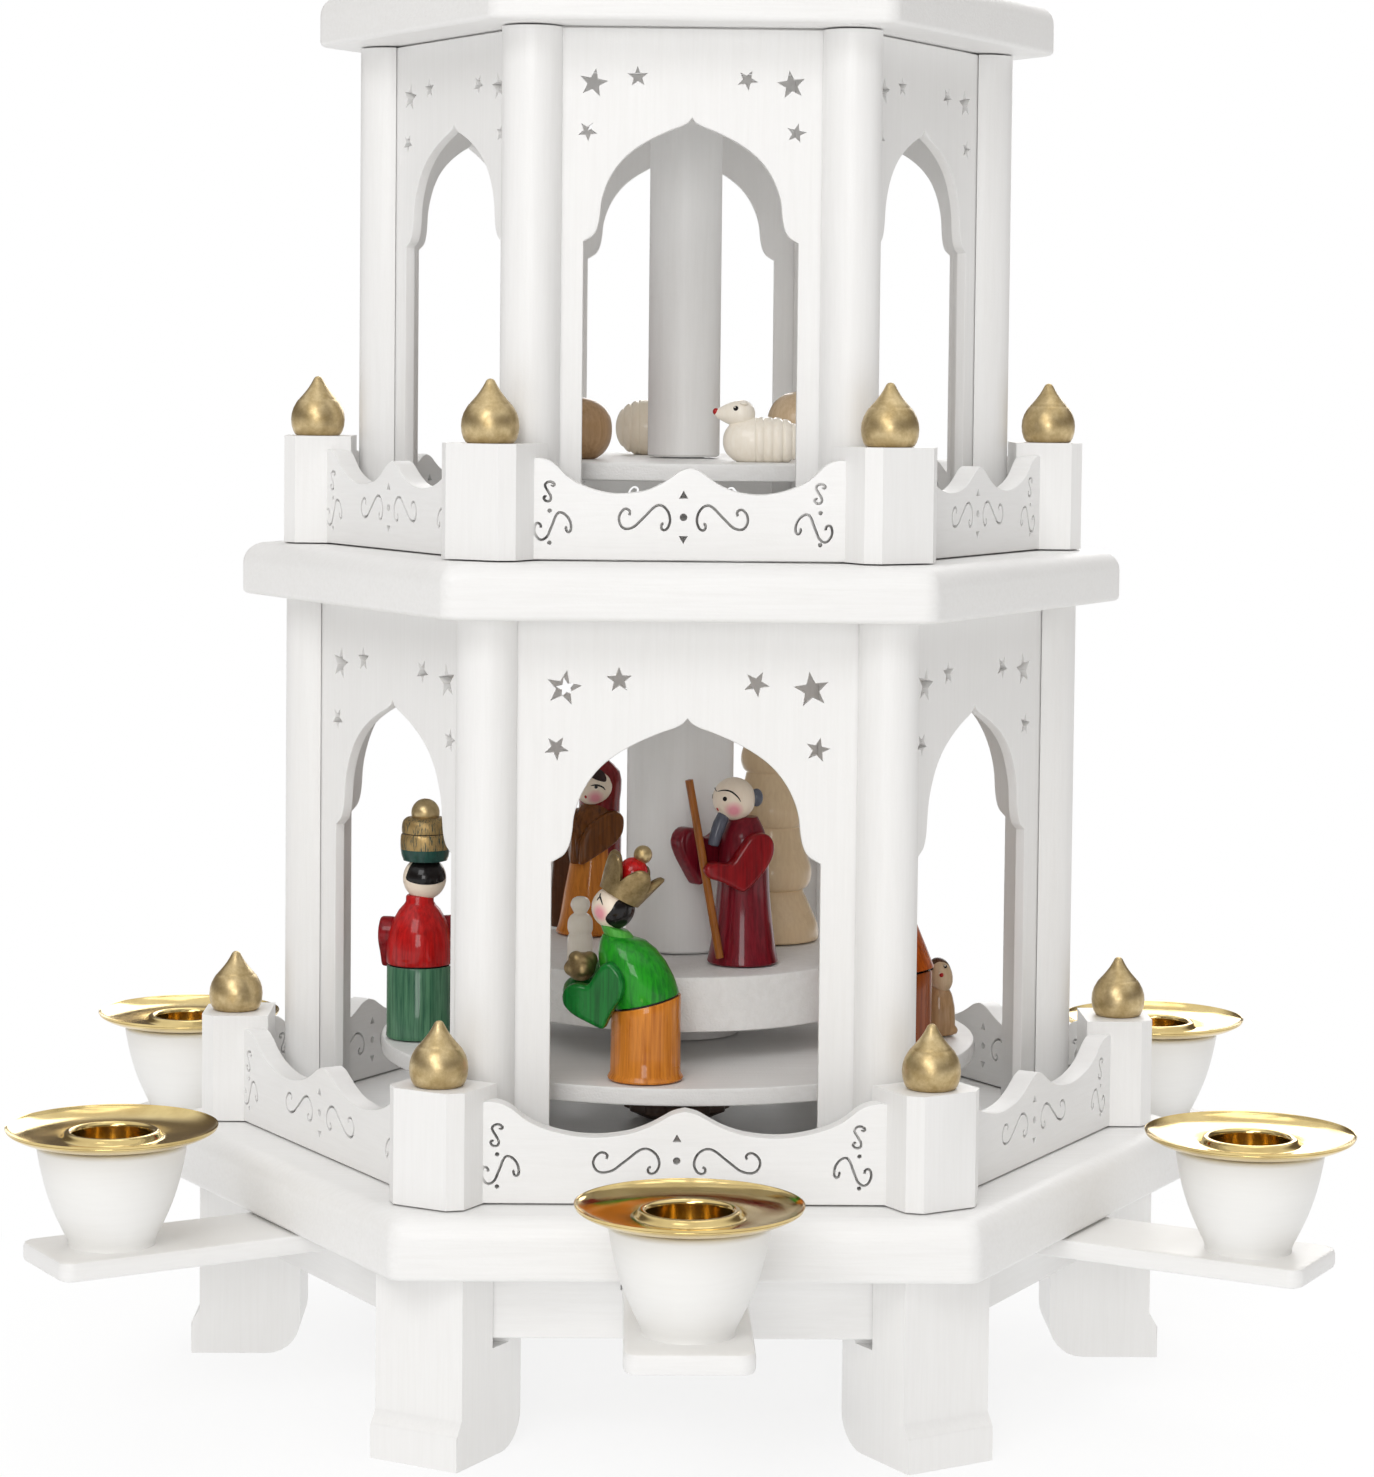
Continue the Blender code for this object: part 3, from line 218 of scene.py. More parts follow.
# %% Smooth lines and insets
def curve(points, steps=3):
    """Return a smooth line through the points, with the two ends kept."""
    line = []
    for i in range(len(points) - 1):
        a, b = Vector(points[max(i - 1, 0)]), Vector(points[i])
        c, d = Vector(points[i + 1]), Vector(points[min(i + 2, len(points) - 1)])
        for j in range(steps):
            t = j / steps
            square, cube = (2 * a - 5 * b + 4 * c - d) * t**2, (3 * b - a - 3 * c + d) * t**3
            line.append(0.5 * (2 * b + (c - a) * t + square + cube))
    return [tuple(p) for p in line] + [tuple(points[-1])]


def lathe_line(points):
    """Return a smooth profile whose first and last point, the poles, stay as they are."""
    return [points[0], *curve(points[1:-1]), points[-1]]


def closed_curve(points, steps=3):
    """Return a smooth closed line through the points."""
    count = len(points)
    line = curve([points[i % count] for i in range(-2, count + 3)], steps)
    return line[2 * steps:(2 + count) * steps]


def rounding(steps):
    """Return (1 - cos, 1 - sin) along a quarter circle, which round a corner when they are scaled."""
    turns = [math.pi / 2 * i / steps for i in range(steps + 1)]
    return [(1 - math.cos(t), 1 - math.sin(t)) for t in turns]


def inset(outline, amount):
    """Return a closed outline moved inwards by a small amount."""
    count, moved = len(outline), []
    for i in range(count):
        before, here, after = (Vector(outline[j % count]) for j in (i - 1, i, i + 1))
        first, second = (here - before).normalized(), (after - here).normalized()
        normal = Vector((-first.y - second.y, first.x + second.x))
        scale = max(normal.length_squared / 2, 0.35)
        moved.append(tuple(here + normal * (amount / scale)))
    return moved


def bridge(bm, low, high):
    """Join two rings of vertices with faces; a ring of one vertex is a pole."""
    for i in range(max(len(low), len(high))):
        corners = (low[i % len(low)], low[(i + 1) % len(low)], high[(i + 1) % len(high)], high[i % len(high)])
        bm.faces.new(dict.fromkeys(corners))


def skinned(bm, loops, closed=False):
    """Return the bmesh after joining each ring of vertices to the next one."""
    for low, high in zip(loops, loops[1:] + (loops[:1] if closed else [])):
        bridge(bm, low, high)
    bmesh.ops.recalc_face_normals(bm, faces=bm.faces)
    return bm


# %% The lathe
def turned(profile, segments=48, closed=False):
    """Return a bmesh turned about Z from (radius, height) points."""
    bm = bmesh.new()
    angles = [math.tau * i / segments for i in range(segments)]
    loops = [
        [bm.verts.new((r * math.cos(a), r * math.sin(a), z)) for a in (angles if r else angles[:1])]
        for r, z in profile
    ]
    return skinned(bm, loops, closed)


# %% The saw
def board(outline, holes, thickness, soften):
    """Return a board in XY, centred on Z, its outer edge eased; the outline runs anticlockwise."""
    bm = bmesh.new()
    half = thickness / 2
    ease = [(soften * s, half - soften * c) for c, s in rounding(2)]
    rings = [(amount, -z) for amount, z in ease] + [(amount, z) for amount, z in reversed(ease)]
    loops = [[bm.verts.new((x, y, z)) for x, y in inset(outline, amount)] for amount, z in rings]
    for low, high in zip(loops, loops[1:]):
        bridge(bm, low, high)
    walls = [[[bm.verts.new((x, y, z)) for x, y in hole] for z in (-half, half)] for hole in holes]
    for low, high in walls:
        bridge(bm, low, high)
    for level in (0, -1):
        rims = [loops[level]] + [wall[level] for wall in walls]
        edges = [bm.edges.get((a, b)) for rim in rims for a, b in zip(rim, rim[1:] + rim[:1])]
        bmesh.ops.triangle_fill(bm, use_beauty=True, edges=edges)
    bmesh.ops.recalc_face_normals(bm, faces=bm.faces)
    return bm


# %% Placing meshes
FACING_OUT = Matrix(((0, 0, 1, 0), (1, 0, 0, 0), (0, 1, 0, 0), (0, 0, 0, 1)))
ALONG_RADIUS = Matrix.Rotation(math.pi / 2, 4, "X")
EASY_EDGE = 38


def at(x, y, z):
    """Return a shift."""
    return Matrix.Translation((x, y, z))


def around(degrees):
    """Return a turn about the tower's axis."""
    return Matrix.Rotation(math.radians(degrees), 4, "Z")


def moved(bm, matrix):
    """Return the bmesh after moving all of it."""
    bmesh.ops.transform(bm, matrix=matrix, verts=bm.verts)
    return bm


def joined(*shapes):
    """Return one bmesh from several."""
    whole = bmesh.new()
    for bm in shapes:
        scrap = bpy.data.meshes.new("scrap")
        bm.to_mesh(scrap)
        bm.free()
        whole.from_mesh(scrap)
        bpy.data.meshes.remove(scrap)
    return whole


def shown(name, data):
    """Return a new object in the scene."""
    made = bpy.data.objects.new(name, data)
    bpy.context.scene.collection.objects.link(made)
    return made


def piece(name, parts, angle=EASY_EDGE):
    """Return an object from pairs of a bmesh and its finish, or its row of finishes by face number."""
    materials = []
    for bm, finish in parts:
        row = finish if isinstance(finish, tuple) else (finish,)
        materials += [material for material in row if material not in materials]
        for face in bm.faces:
            face.material_index = materials.index(row[face.material_index % len(row)])
    whole = joined(*[bm for bm, _ in parts])
    mesh = bpy.data.meshes.new(name)
    whole.to_mesh(mesh)
    whole.free()
    for material in materials:
        mesh.materials.append(material)
    mesh.shade_smooth()
    mesh.set_sharp_from_angle(angle=math.radians(angle))
    return shown(name, mesh)


# %% [markdown]
# ## Setting a modifier's result into plain mesh
# A modifier is handy while a piece is shaped, but the finished piece is one plain mesh with its place
# in its vertices, which is what rides on a CAD body. The same helper gives
# the piece its body and the CAD nodes that it stands for.


# %% Settle and hand over a piece
def settled(obj):
    """Replace an object's mesh by what its modifiers make of it."""
    bpy.context.view_layer.update()
    graph = bpy.context.evaluated_depsgraph_get()
    result = bpy.data.meshes.new_from_object(obj.evaluated_get(graph), preserve_all_data_layers=True,
                                             depsgraph=graph)
    old = obj.data
    obj.modifiers.clear()
    obj.data = result
    result.name = obj.name
    bpy.data.meshes.remove(old)
    return obj


def eased(obj, width):
    """Round a piece's edges, and keep its flat faces looking flat."""
    bevel = obj.modifiers.new("ease", "BEVEL")
    bevel.width, bevel.segments, bevel.limit_method = width, 2, "ANGLE"
    bevel.angle_limit = math.radians(EASY_EDGE)
    bevel.harden_normals = True
    return settled(obj)


def flattened(obj):
    """Keep big flat faces looking flat beside their small eased edges."""
    obj.data.set_sharp_from_angle(angle=math.radians(EASY_EDGE))
    weight = obj.modifiers.new("flatten", "WEIGHTED_NORMAL")
    weight.keep_sharp = True
    return settled(obj)


def hand_over(obj, body, slot, *nodes):
    """Let a finished piece ride on its body and stand for its CAD nodes."""
    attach(obj, body)
    if nodes:
        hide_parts(*nodes)
    print(f"{obj.name}: {len(obj.data.polygons)} faces on {body}")
    return obj


# %% [markdown]
# ## Geometry Nodes: one piece, repeated round the axis
# Six of nearly everything stands round this tower. The piece that stands along +X is drawn once, and a
# node tree puts copies of it on points at the axis, each turned a step further. The tree ends in
# Realize Instances and Set Material, so the copies become real faces with a finish.


# %% Build trees and run them
def new_tree(name, inputs):
    """Return an empty Geometry Nodes tree with named inputs, its group input node and its output."""
    tree = bpy.data.node_groups.new(name, "GeometryNodeTree")
    tree.interface.new_socket(name="Geometry", in_out="OUTPUT", socket_type="NodeSocketGeometry")
    for label, kind in {"Geometry": "Geometry", **inputs, "Finish": "Material"}.items():
        tree.interface.new_socket(name=label, in_out="INPUT", socket_type=f"NodeSocket{kind}")
    return tree, tree.nodes.new("NodeGroupInput").outputs


def end_tree(tree, given, result):
    """Finish a tree: real faces, one material, then the output."""
    real = step(tree, "GeometryNodeRealizeInstances", {"Geometry": result})
    finished = step(tree, "GeometryNodeSetMaterial", {"Geometry": real, "Material": given["Finish"]})
    tree.links.new(finished, tree.nodes.new("NodeGroupOutput").inputs[0])
    return tree


def run_tree(obj, tree, **inputs):
    """Run a tree on an object with its inputs set by their identifiers, and keep the result."""
    modifier = obj.modifiers.new(tree.name, "NODES")
    modifier.node_group = tree
    for item in tree.interface.items_tree:
        if item.in_out == "INPUT" and item.name.replace(" ", "_") in inputs:
            modifier[item.identifier] = inputs[item.name.replace(" ", "_")]
    return settled(obj)


# %% The ring tree
ring_tree, given = new_tree("ring_round_axis", {"Count": "Int", "First Angle": "Float",
                                                "Step Angle": "Float"})
points = step(ring_tree, "GeometryNodePoints", {"Count": given["Count"]})
index = step(ring_tree, "GeometryNodeInputIndex")
turn = step(ring_tree, "ShaderNodeMath", {
    0: index, 1: given["Step Angle"], 2: given["First Angle"]}, operation="MULTIPLY_ADD")
upright_turn = step(ring_tree, "ShaderNodeCombineXYZ", {"Z": turn})
copies = step(ring_tree, "GeometryNodeInstanceOnPoints", {
    "Points": points, "Instance": given["Geometry"], "Rotation": upright_turn})
end_tree(ring_tree, given, copies)


def repeated(obj, finish, first=0, count=6):
    """Return an object as copies at even steps round the tower's axis."""
    return run_tree(obj, ring_tree, Count=count, First_Angle=math.radians(first),
                    Step_Angle=math.radians(360 / count), Finish=finish)


def ring(name, bm, finish, first=0, count=6, angle=EASY_EDGE):
    """Return copies of a shape round the tower's axis as one object."""
    return repeated(piece(name, [(bm, finish)], angle), finish, first, count)


print("ring tree:", len(ring_tree.nodes), "nodes")

# %% [markdown]
# ## Decks
# Each storey stands on a hexagonal board. The router rounded the upper edge broadly and the lower one
# barely, and the corners are blunted. Rings of a hexagon with rounded corners, stepped along a quarter
# circle, give that edge exactly and keep the top one flat face. The grain runs along X, so the faces
# to the right and left show rougher end grain, as in the photograph.

# %% Hexagon rings and the deck
COS_HALF = math.cos(math.pi / 6)
TAN_HALF = math.tan(math.pi / 6)


def hexagon(inradius, corner, turns=7):
    """Return an outline round a hexagon with a corner at +X, every corner rounded."""
    centre = (inradius - corner) / COS_HALF
    outline = []
    for k in range(6):
        middle = math.radians(60 * k)
        for j in range(turns):
            lean = math.radians(60 * k - 30 + 60 * j / (turns - 1))
            outline.append((centre * math.cos(middle) + corner * math.cos(lean),
                            centre * math.sin(middle) + corner * math.sin(lean)))
    return outline


TOP_ROUND, FOOT_ROUND, DECK_CORNER = 4.0 * MM, 1.0 * MM, 3.4 * MM


def deck(node, bore):
    """Return a deck in the place of its CAD node; without a bore it stays whole."""
    low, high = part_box(node)
    rings = [(FOOT_ROUND * s, low.z + FOOT_ROUND * c) for c, s in rounding(3)]
    rings += [(TOP_ROUND * c, high.z - TOP_ROUND * s) for c, s in rounding(7)]
    bm = bmesh.new()
    loops = [[bm.verts.new((x, y, z)) for x, y in hexagon(high.y - back, DECK_CORNER)] for back, z in rings]
    count = len(loops[0])
    angles = [math.radians(-30 + 360 * i / count) for i in range(count if bore else 1)]
    for z in (high.z, low.z):
        loops.append([bm.verts.new((bore * math.cos(a), bore * math.sin(a), z)) for a in angles])
    for first, second in zip(loops, loops[1:-1]):
        bridge(bm, first, second)
    bridge(bm, loops[-1], loops[0])
    if bore:
        bridge(bm, loops[-2], loops[-1])
    bmesh.ops.recalc_face_normals(bm, faces=bm.faces)
    return bm


for node, bore in (("base_deck", 0), ("middle_deck", 7.0 * MM), ("upper_deck", 7.0 * MM),
                   ("roof_deck", 7.0 * MM)):
    made = piece(node + "_board", [(deck(node, bore), white_board)])
    hand_over(flattened(made), "housing", "white_paint", node)

# %% [markdown]
# ## Legs and apron
# A leg is a thick block with a flared foot on its outer face and a rounded toe inside, and a slot in
# each side takes the end of an apron board. The slot runs a little lower than the board, which shows
# as a pale notch. A Boolean cuts it, and a bevel then eases every edge that the cut left.

# %% Legs
BASE_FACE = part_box("base_deck")[1].y
LEG_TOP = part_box("leg_1")[1].z
LEG_OUT, LEG_IN, LEG_WIDTH = 92.5 * MM, 73.0 * MM, 18.0 * MM
APRON_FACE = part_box("apron")[1].y
APRON_BACK = APRON_FACE - 4.0 * MM
APRON_LOW, APRON_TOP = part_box("apron")[0].z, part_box("apron")[1].z
TOE = 6.5 * MM
SHARP = 0.0001 * MM


def cut(obj, tool):
    """Cut one object by another, and remove the tool."""
    modifier = obj.modifiers.new("cut", "BOOLEAN")
    modifier.operation, modifier.solver, modifier.object = "DIFFERENCE", "EXACT", tool
    settled(obj)
    bpy.data.objects.remove(tool, do_unlink=True)
    return obj


def hexagonal_ring(outer, inner, low, high):
    """Return a mitred hexagonal ring of boards."""
    bm = bmesh.new()
    levels = ((inner, low), (outer, low), (outer, high), (inner, high))
    loops = [[bm.verts.new((x, y, z)) for x, y in hexagon(face, 0, 2)[::2]] for face, z in levels]
    return skinned(bm, loops, closed=True)


toe = [(LEG_IN + TOE * s, TOE * c) for c, s in reversed(rounding(7))]
flare = [(LEG_OUT + x * MM, z * MM) for x, z in ((1.6, 0), (1.6, 6.0), (1.3, 6.5), (0, 8.6))]
side = [*flare, (LEG_OUT, LEG_TOP), (LEG_IN, LEG_TOP), *toe]
leg = piece("leg_block", [(moved(board(side, (), LEG_WIDTH, SHARP), ALONG_RADIUS), white_upright)])
slot = hexagonal_ring(APRON_FACE + 0.35 * MM, APRON_BACK - 0.35 * MM, APRON_LOW - 1.7 * MM, LEG_TOP + 3 * MM)
leg = eased(cut(leg, piece("slot_tool", [(slot, white_upright)])), 0.45 * MM)
legs = repeated(leg, white_upright)
legs.name = "legs"
hand_over(flattened(legs), "housing", "white_paint", *[f"leg_{k}" for k in range(1, 7)])

# %% Apron boards
ARM_LOW, ARM_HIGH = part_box("candle_arm_2")[0].z, 33.7 * MM
ARM_WIDTH = 21.5 * MM
apron = piece("apron_boards", [(hexagonal_ring(APRON_FACE, APRON_BACK, APRON_LOW, APRON_TOP), white_level)])
reach, near, far = ARM_WIDTH / 2 + 0.3 * MM, APRON_BACK - 2 * MM, APRON_FACE + 2 * MM
notch = board([(near, -reach), (far, -reach), (far, reach), (near, reach)], (), 9 * MM, SHARP)
notches = ring("notch_tool", moved(notch, at(0, 0, ARM_LOW + 4.2 * MM)), white_level, first=30)
hand_over(flattened(cut(eased(apron, 0.4 * MM), notches)), "housing", "white_paint", "apron")

# %% [markdown]
# ## Candle arms, cups and brass pans
# A flat arm slides in under the deck beneath the middle of each face and carries a turned cup. The
# cup's outline is read off the photograph: nearly upright at the lip and drawn in fast at the foot.
# The pan is thin sheet with a pressed socket, so its profile is drawn as a closed wall: a rolled ring,
# a flat, a dish that rises to a turned-out rim, and back underneath.

# %% Arms and cups
CUP_REACH = BASE_FACE + 30.6 * MM
ARM_END = BASE_FACE + 44.1 * MM
ARM_START = APRON_BACK - 11.6 * MM
half, blunt = ARM_WIDTH / 2, 2.6 * MM
corner = [(ARM_END - blunt * c, half - blunt * s) for c, s in rounding(6)]
arm_outline = [(ARM_START, half), (ARM_START, -half)] + [(x, -y) for x, y in reversed(corner)] + corner
arm_height = ARM_HIGH - ARM_LOW
arm = board(arm_outline, (), arm_height, 0.9 * MM)
arms = ring("candle_arms", moved(arm, at(0, 0, ARM_LOW + arm_height / 2)), white_level, first=30)
hand_over(flattened(arms), "housing", "white_paint", *[f"candle_arm_{k}" for k in range(1, 7)])

CUP_TOP = 18.5
CUP_OUTLINE = ((7.9, 0), (7.85, 0.5), (8.1, 1.3), (9.25, 3.7), (10.7, 7.0), (11.85, 10.4), (12.65, 13.6),
               (13.15, 16.2), (13.4, 17.6))
lip = [(13.4, 17.9), (13.2, 18.3), (12.8, CUP_TOP), (8.2, CUP_TOP), (7.95, 18.2), (7.95, 3.7), (0, 3.7)]
cup_profile = [(0, -0.3), (8.3, -0.3), *curve(CUP_OUTLINE, 4), *lip]
cup = moved(turned([(r * MM, z * MM) for r, z in cup_profile], 72), at(CUP_REACH, 0, ARM_HIGH))
hand_over(ring("candle_cups", cup, white_cup, first=30), "housing", "white_paint")


# %% Pans
def stored_distance(bm, x):
    """Store each vertex's distance from an upright axis at x, for the spun rings."""
    layer = bm.verts.layers.float.new("axis_distance")
    for vert in bm.verts:
        vert[layer] = math.hypot(vert.co.x - x, vert.co.y)
    return bm


SHEET = 0.45
ring_bead = [(7.1, 0.9), (7.15, 1.5), (7.5, 1.95), (8.0, 2.05), (8.5, 1.85), (8.85, 1.35), (9.2, 0.95),
             (9.8, 0.8)]
bowl = curve([(12.2, 0.8), (14.5, 1.0), (16.6, 1.5), (18.0, 2.15), (18.6, 2.55), (18.85, 2.8), (19.0, 2.9)])
inside = [(0, -13.6), (6.8, -13.6), (7.1, -13.3), *curve(ring_bead), *bowl]
outside = [(19.0, 2.65), (18.75, 2.4), *[(r, z - SHEET) for r, z in reversed(bowl[:-4])],
           (9.3, 0.35), (8.1, 0.35), (7.55, 0.3), (7.55, -13.7), (7.0, -14.05), (0, -14.05)]
pan = turned([(r * MM, z * MM) for r, z in inside + outside], 96)
pan = moved(stored_distance(pan, 0), at(CUP_REACH, 0, ARM_HIGH + CUP_TOP * MM))
pans = ring("drip_pans", pan, brass, first=30, angle=60)
hand_over(pans, "housing", "brass", *[f"candle_pan_{k}" for k in range(1, 7)])

# %% [markdown]
# ## Columns and star panels
# Each storey has six round columns with a thin sawn panel let into grooves between each two. The
# groove is a hair wider than the 2 mm board, which draws the fine dark line beside every column. The arch
# is an ogee: straight jambs, a flare, a round shoulder and a drawn-up tip.
#
# The cut-out stars are perforations, so a node tree makes them: a star is swept into a prism, set on
# points that carry each star's size and tilt, and taken out of the board with a Mesh Boolean.

# %% Storeys as the CAD gives them
COLUMN_RADIUS = 5.5 * MM
PANEL = 2.0 * MM
Storey = namedtuple("Storey", "name floor ceiling circle deck_face shoulder crown")
storeys = []
for name, carrier, shoulder, crown in (("lower", "base_deck", 58.4, 17.6),
                                       ("middle", "middle_deck", 56.8, 16.0),
                                       ("upper", "upper_deck", 55.0, 14.5)):
    low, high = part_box(f"{name}_arcade")
    storeys.append(Storey(name, low.z, high.z, high.x - COLUMN_RADIUS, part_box(carrier)[1].y, shoulder * MM,
                          crown * MM))
print("column circles in mm:", [round(s.circle / MM, 1) for s in storeys])

# %% Grooved columns
GROOVE_HALF, GROOVE_FLOOR = PANEL / 2 + 0.22 * MM, 2.0 * MM


def column(storey):
    """Return one column at +X with a groove for the panel on each side."""
    outline = []
    edge = math.sqrt(COLUMN_RADIUS**2 - GROOVE_HALF**2)
    gap = math.asin(GROOVE_HALF / COLUMN_RADIUS)
    for facing, sweep, steps in ((-120, 240, 26), (120, 120, 12)):
        facing, sweep = math.radians(facing), math.radians(sweep) - 2 * gap
        along = Vector((math.cos(facing), math.sin(facing)))
        across = Vector((-along.y, along.x)) * GROOVE_HALF
        outline += [along * edge - across, along * GROOVE_FLOOR - across,
                    along * GROOVE_FLOOR + across, along * edge + across]
        outline += [Vector((COLUMN_RADIUS * math.cos(a), COLUMN_RADIUS * math.sin(a)))
                    for a in [facing + gap + sweep * i / steps for i in range(1, steps)]]
    height = storey.ceiling - storey.floor
    bm = board([tuple(p) for p in outline], (), height, 0.12 * MM)
    return moved(bm, at(storey.circle, 0, storey.floor + height / 2))


for storey in storeys:
    columns = ring(f"{storey.name}_columns", column(storey), white_upright, angle=32)
    hand_over(flattened(columns), "housing", "white_paint")

# %% The star tree
star_tree, given = new_tree("star_perforations", {"Places": "Object", "Depth": "Float", "Waist": "Float"})
places = step(star_tree, "GeometryNodeObjectInfo", {"Object": given["Places"]}, out="Geometry",
              transform_space="RELATIVE")
lift = step(star_tree, "ShaderNodeCombineXYZ", {"Z": given["Depth"]})
drop = step(star_tree, "ShaderNodeVectorMath", {0: lift, "Scale": -1.0}, operation="SCALE")
line = step(star_tree, "GeometryNodeCurvePrimitiveLine", {"Start": drop, "End": lift})
star = step(star_tree, "GeometryNodeCurveStar", {"Points": 5, "Inner Radius": given["Waist"],
                                                 "Outer Radius": 1.0})
prism = step(star_tree, "GeometryNodeCurveToMesh", {"Curve": line, "Profile Curve": star, "Fill Caps": True})
reach = step(star_tree, "GeometryNodeInputNamedAttribute", {"Name": "reach"}, data_type="FLOAT")
tilt = step(star_tree, "GeometryNodeInputNamedAttribute", {"Name": "tilt"}, data_type="FLOAT")
prisms = step(star_tree, "GeometryNodeInstanceOnPoints", {
    "Points": places, "Instance": prism, "Rotation": step(star_tree, "ShaderNodeCombineXYZ", {"Z": tilt}),
    "Scale": step(star_tree, "ShaderNodeCombineXYZ", {"X": reach, "Y": reach, "Z": 1.0})})
tools = step(star_tree, "GeometryNodeRealizeInstances", {"Geometry": prisms})
pierced = step(star_tree, "GeometryNodeMeshBoolean", {"Mesh 1": given["Geometry"], "Mesh 2": tools},
               operation="DIFFERENCE", solver="EXACT")
end_tree(star_tree, given, pierced)

# %% Points that carry a size and a tilt
STARS = ((-0.309, 0.172, 0.046, 8), (-0.171, 0.151, 0.0335, 20), (-0.326, 0.322, 0.032, -14),
         (0.171, 0.158, 0.0335, -10), (0.309, 0.172, 0.046, 26), (0.326, 0.322, 0.032, 6))


def star_places(storey, height):
    """Return the points that the stars are cut at, on a panel whose foot is at zero."""
    mesh = bpy.data.meshes.new("star_places")
    mesh.from_pydata([(x * storey.circle, height - down * storey.circle, 0) for x, down, _, _ in STARS], [],
                     [])
    for name, values in (("reach", [size * storey.circle for _, _, size, _ in STARS]),
                         ("tilt", [math.radians(lean) for _, _, _, lean in STARS])):
        mesh.attributes.new(name, "FLOAT", "POINT").data.foreach_set("value", values)
    return shown("star_places", mesh)


# %% Panels
ARCH = ((1, 0), (0.955, 0.022), (0.905, 0.055), (0.868, 0.12), (0.848, 0.21), (0.835, 0.32), (0.80, 0.43),
        (0.735, 0.55), (0.64, 0.66), (0.52, 0.75), (0.37, 0.83), (0.21, 0.895), (0.09, 0.935), (0.03, 0.965))
OPENING_SHARE = 0.336
for storey in storeys:
    height = storey.ceiling - storey.floor
    reach, opening = storey.circle / 2 - 2.0 * MM, storey.circle * OPENING_SHARE
    crown = height - storey.crown
    arch = [(opening * x, storey.shoulder + (crown - storey.shoulder) * y) for x, y in curve(ARCH)]
    outline = [(reach, 0), (reach, height), (-reach, height), (-reach, 0), (-opening, 0)]
    outline += [(-x, y) for x, y in arch] + [(0, crown)] + arch[::-1] + [(opening, 0)]
    panel = piece(f"{storey.name}_panels", [(board(outline, (), PANEL, 0.28 * MM), white_upright)])
    places = star_places(storey, height)
    run_tree(panel, star_tree, Places=places, Depth=6.0 * MM, Waist=0.42, Finish=white_upright)
    bpy.data.objects.remove(places, do_unlink=True)
    panel.data.transform(at(storey.circle * COS_HALF, 0, storey.floor) @ FACING_OUT)
    repeated(panel, white_upright, first=30)
    hand_over(flattened(panel), "housing", "white_paint", f"{storey.name}_arcade")

# %% [markdown]
# ## Galleries
# A post stands on each corner of a deck, and a thin rail with a waved top runs between each two. The
# rails are pierced with hair-fine scrolls. A fretsaw follows a drawn line, and so does a node tree: it
# turns each drawn line into a curve, sweeps a narrow blade along it, and takes the blade's path out of
# the board. The round and pointed piercings are holes in the outline.

# %% The fretsaw tree
saw_tree, given = new_tree("fretsaw_lines", {"Lines": "Object", "Kerf": "Float", "Depth": "Float"})
drawn = step(saw_tree, "GeometryNodeObjectInfo", {"Object": given["Lines"]}, out="Geometry",
             transform_space="RELATIVE")
path = step(saw_tree, "GeometryNodeMeshToCurve", {"Mesh": drawn})
blade = step(saw_tree, "GeometryNodeCurvePrimitiveQuadrilateral",
             {"Width": given["Kerf"], "Height": given["Depth"]})
kerfs = step(saw_tree, "GeometryNodeCurveToMesh", {"Curve": path, "Profile Curve": blade, "Fill Caps": True})
sawn = step(saw_tree, "GeometryNodeMeshBoolean", {
    "Mesh 1": given["Geometry"], "Mesh 2": kerfs, "Self Intersection": True}, operation="DIFFERENCE",
            solver="EXACT")
end_tree(saw_tree, given, sawn)

# %% Scrolls as drawn lines
SCROLL = ((-3.3, 0.25), (-3.1, 0.75), (-3.5, 1.15), (-4.3, 1.2), (-5.2, 0.5), (-5.45, -0.5), (-4.9, -1.5),
          (-3.8, -1.85), (-2.2, -1.5), (-0.8, -0.55), (0.6, 0.45), (1.8, 1.35), (3.0, 1.85), (4.2, 1.6),
          (5.2, 0.7), (5.55, -0.5), (5.1, -1.6), (4.3, -2.0), (3.7, -1.7), (3.75, -1.1), (4.15, -0.95))


def scroll(x, y, width, height, turn=0.0, mirror=1):
    """Return an S-scroll as a line, in metres, scaled to a width and a height in mm."""
    line = []
    cos, sin = math.cos(turn), math.sin(turn)
    for px, py in curve(SCROLL):
        px, py = mirror * px * width / 11.0, py * height / 3.9
        line.append(((x + px * cos - py * sin) * MM, (y + px * sin + py * cos) * MM, 0))
    return line


def drawn_lines(lines):
    """Return an object whose edges are the drawn lines."""
    verts, edges = [], []
    for line in lines:
        edges += [(len(verts) + i, len(verts) + i + 1) for i in range(len(line) - 1)]
        verts += line
    mesh = bpy.data.meshes.new("drawn_lines")
    mesh.from_pydata(verts, edges, [])
    return shown("drawn_lines", mesh)


def pip(x, y, size, corners, turn=0.0):
    """Return a small round or pointed hole, in metres, from mm."""
    angles = [turn - math.tau * i / corners for i in range(corners)]
    return [((x + size * math.cos(a)) * MM, (y + size * math.sin(a)) * MM) for a in angles]


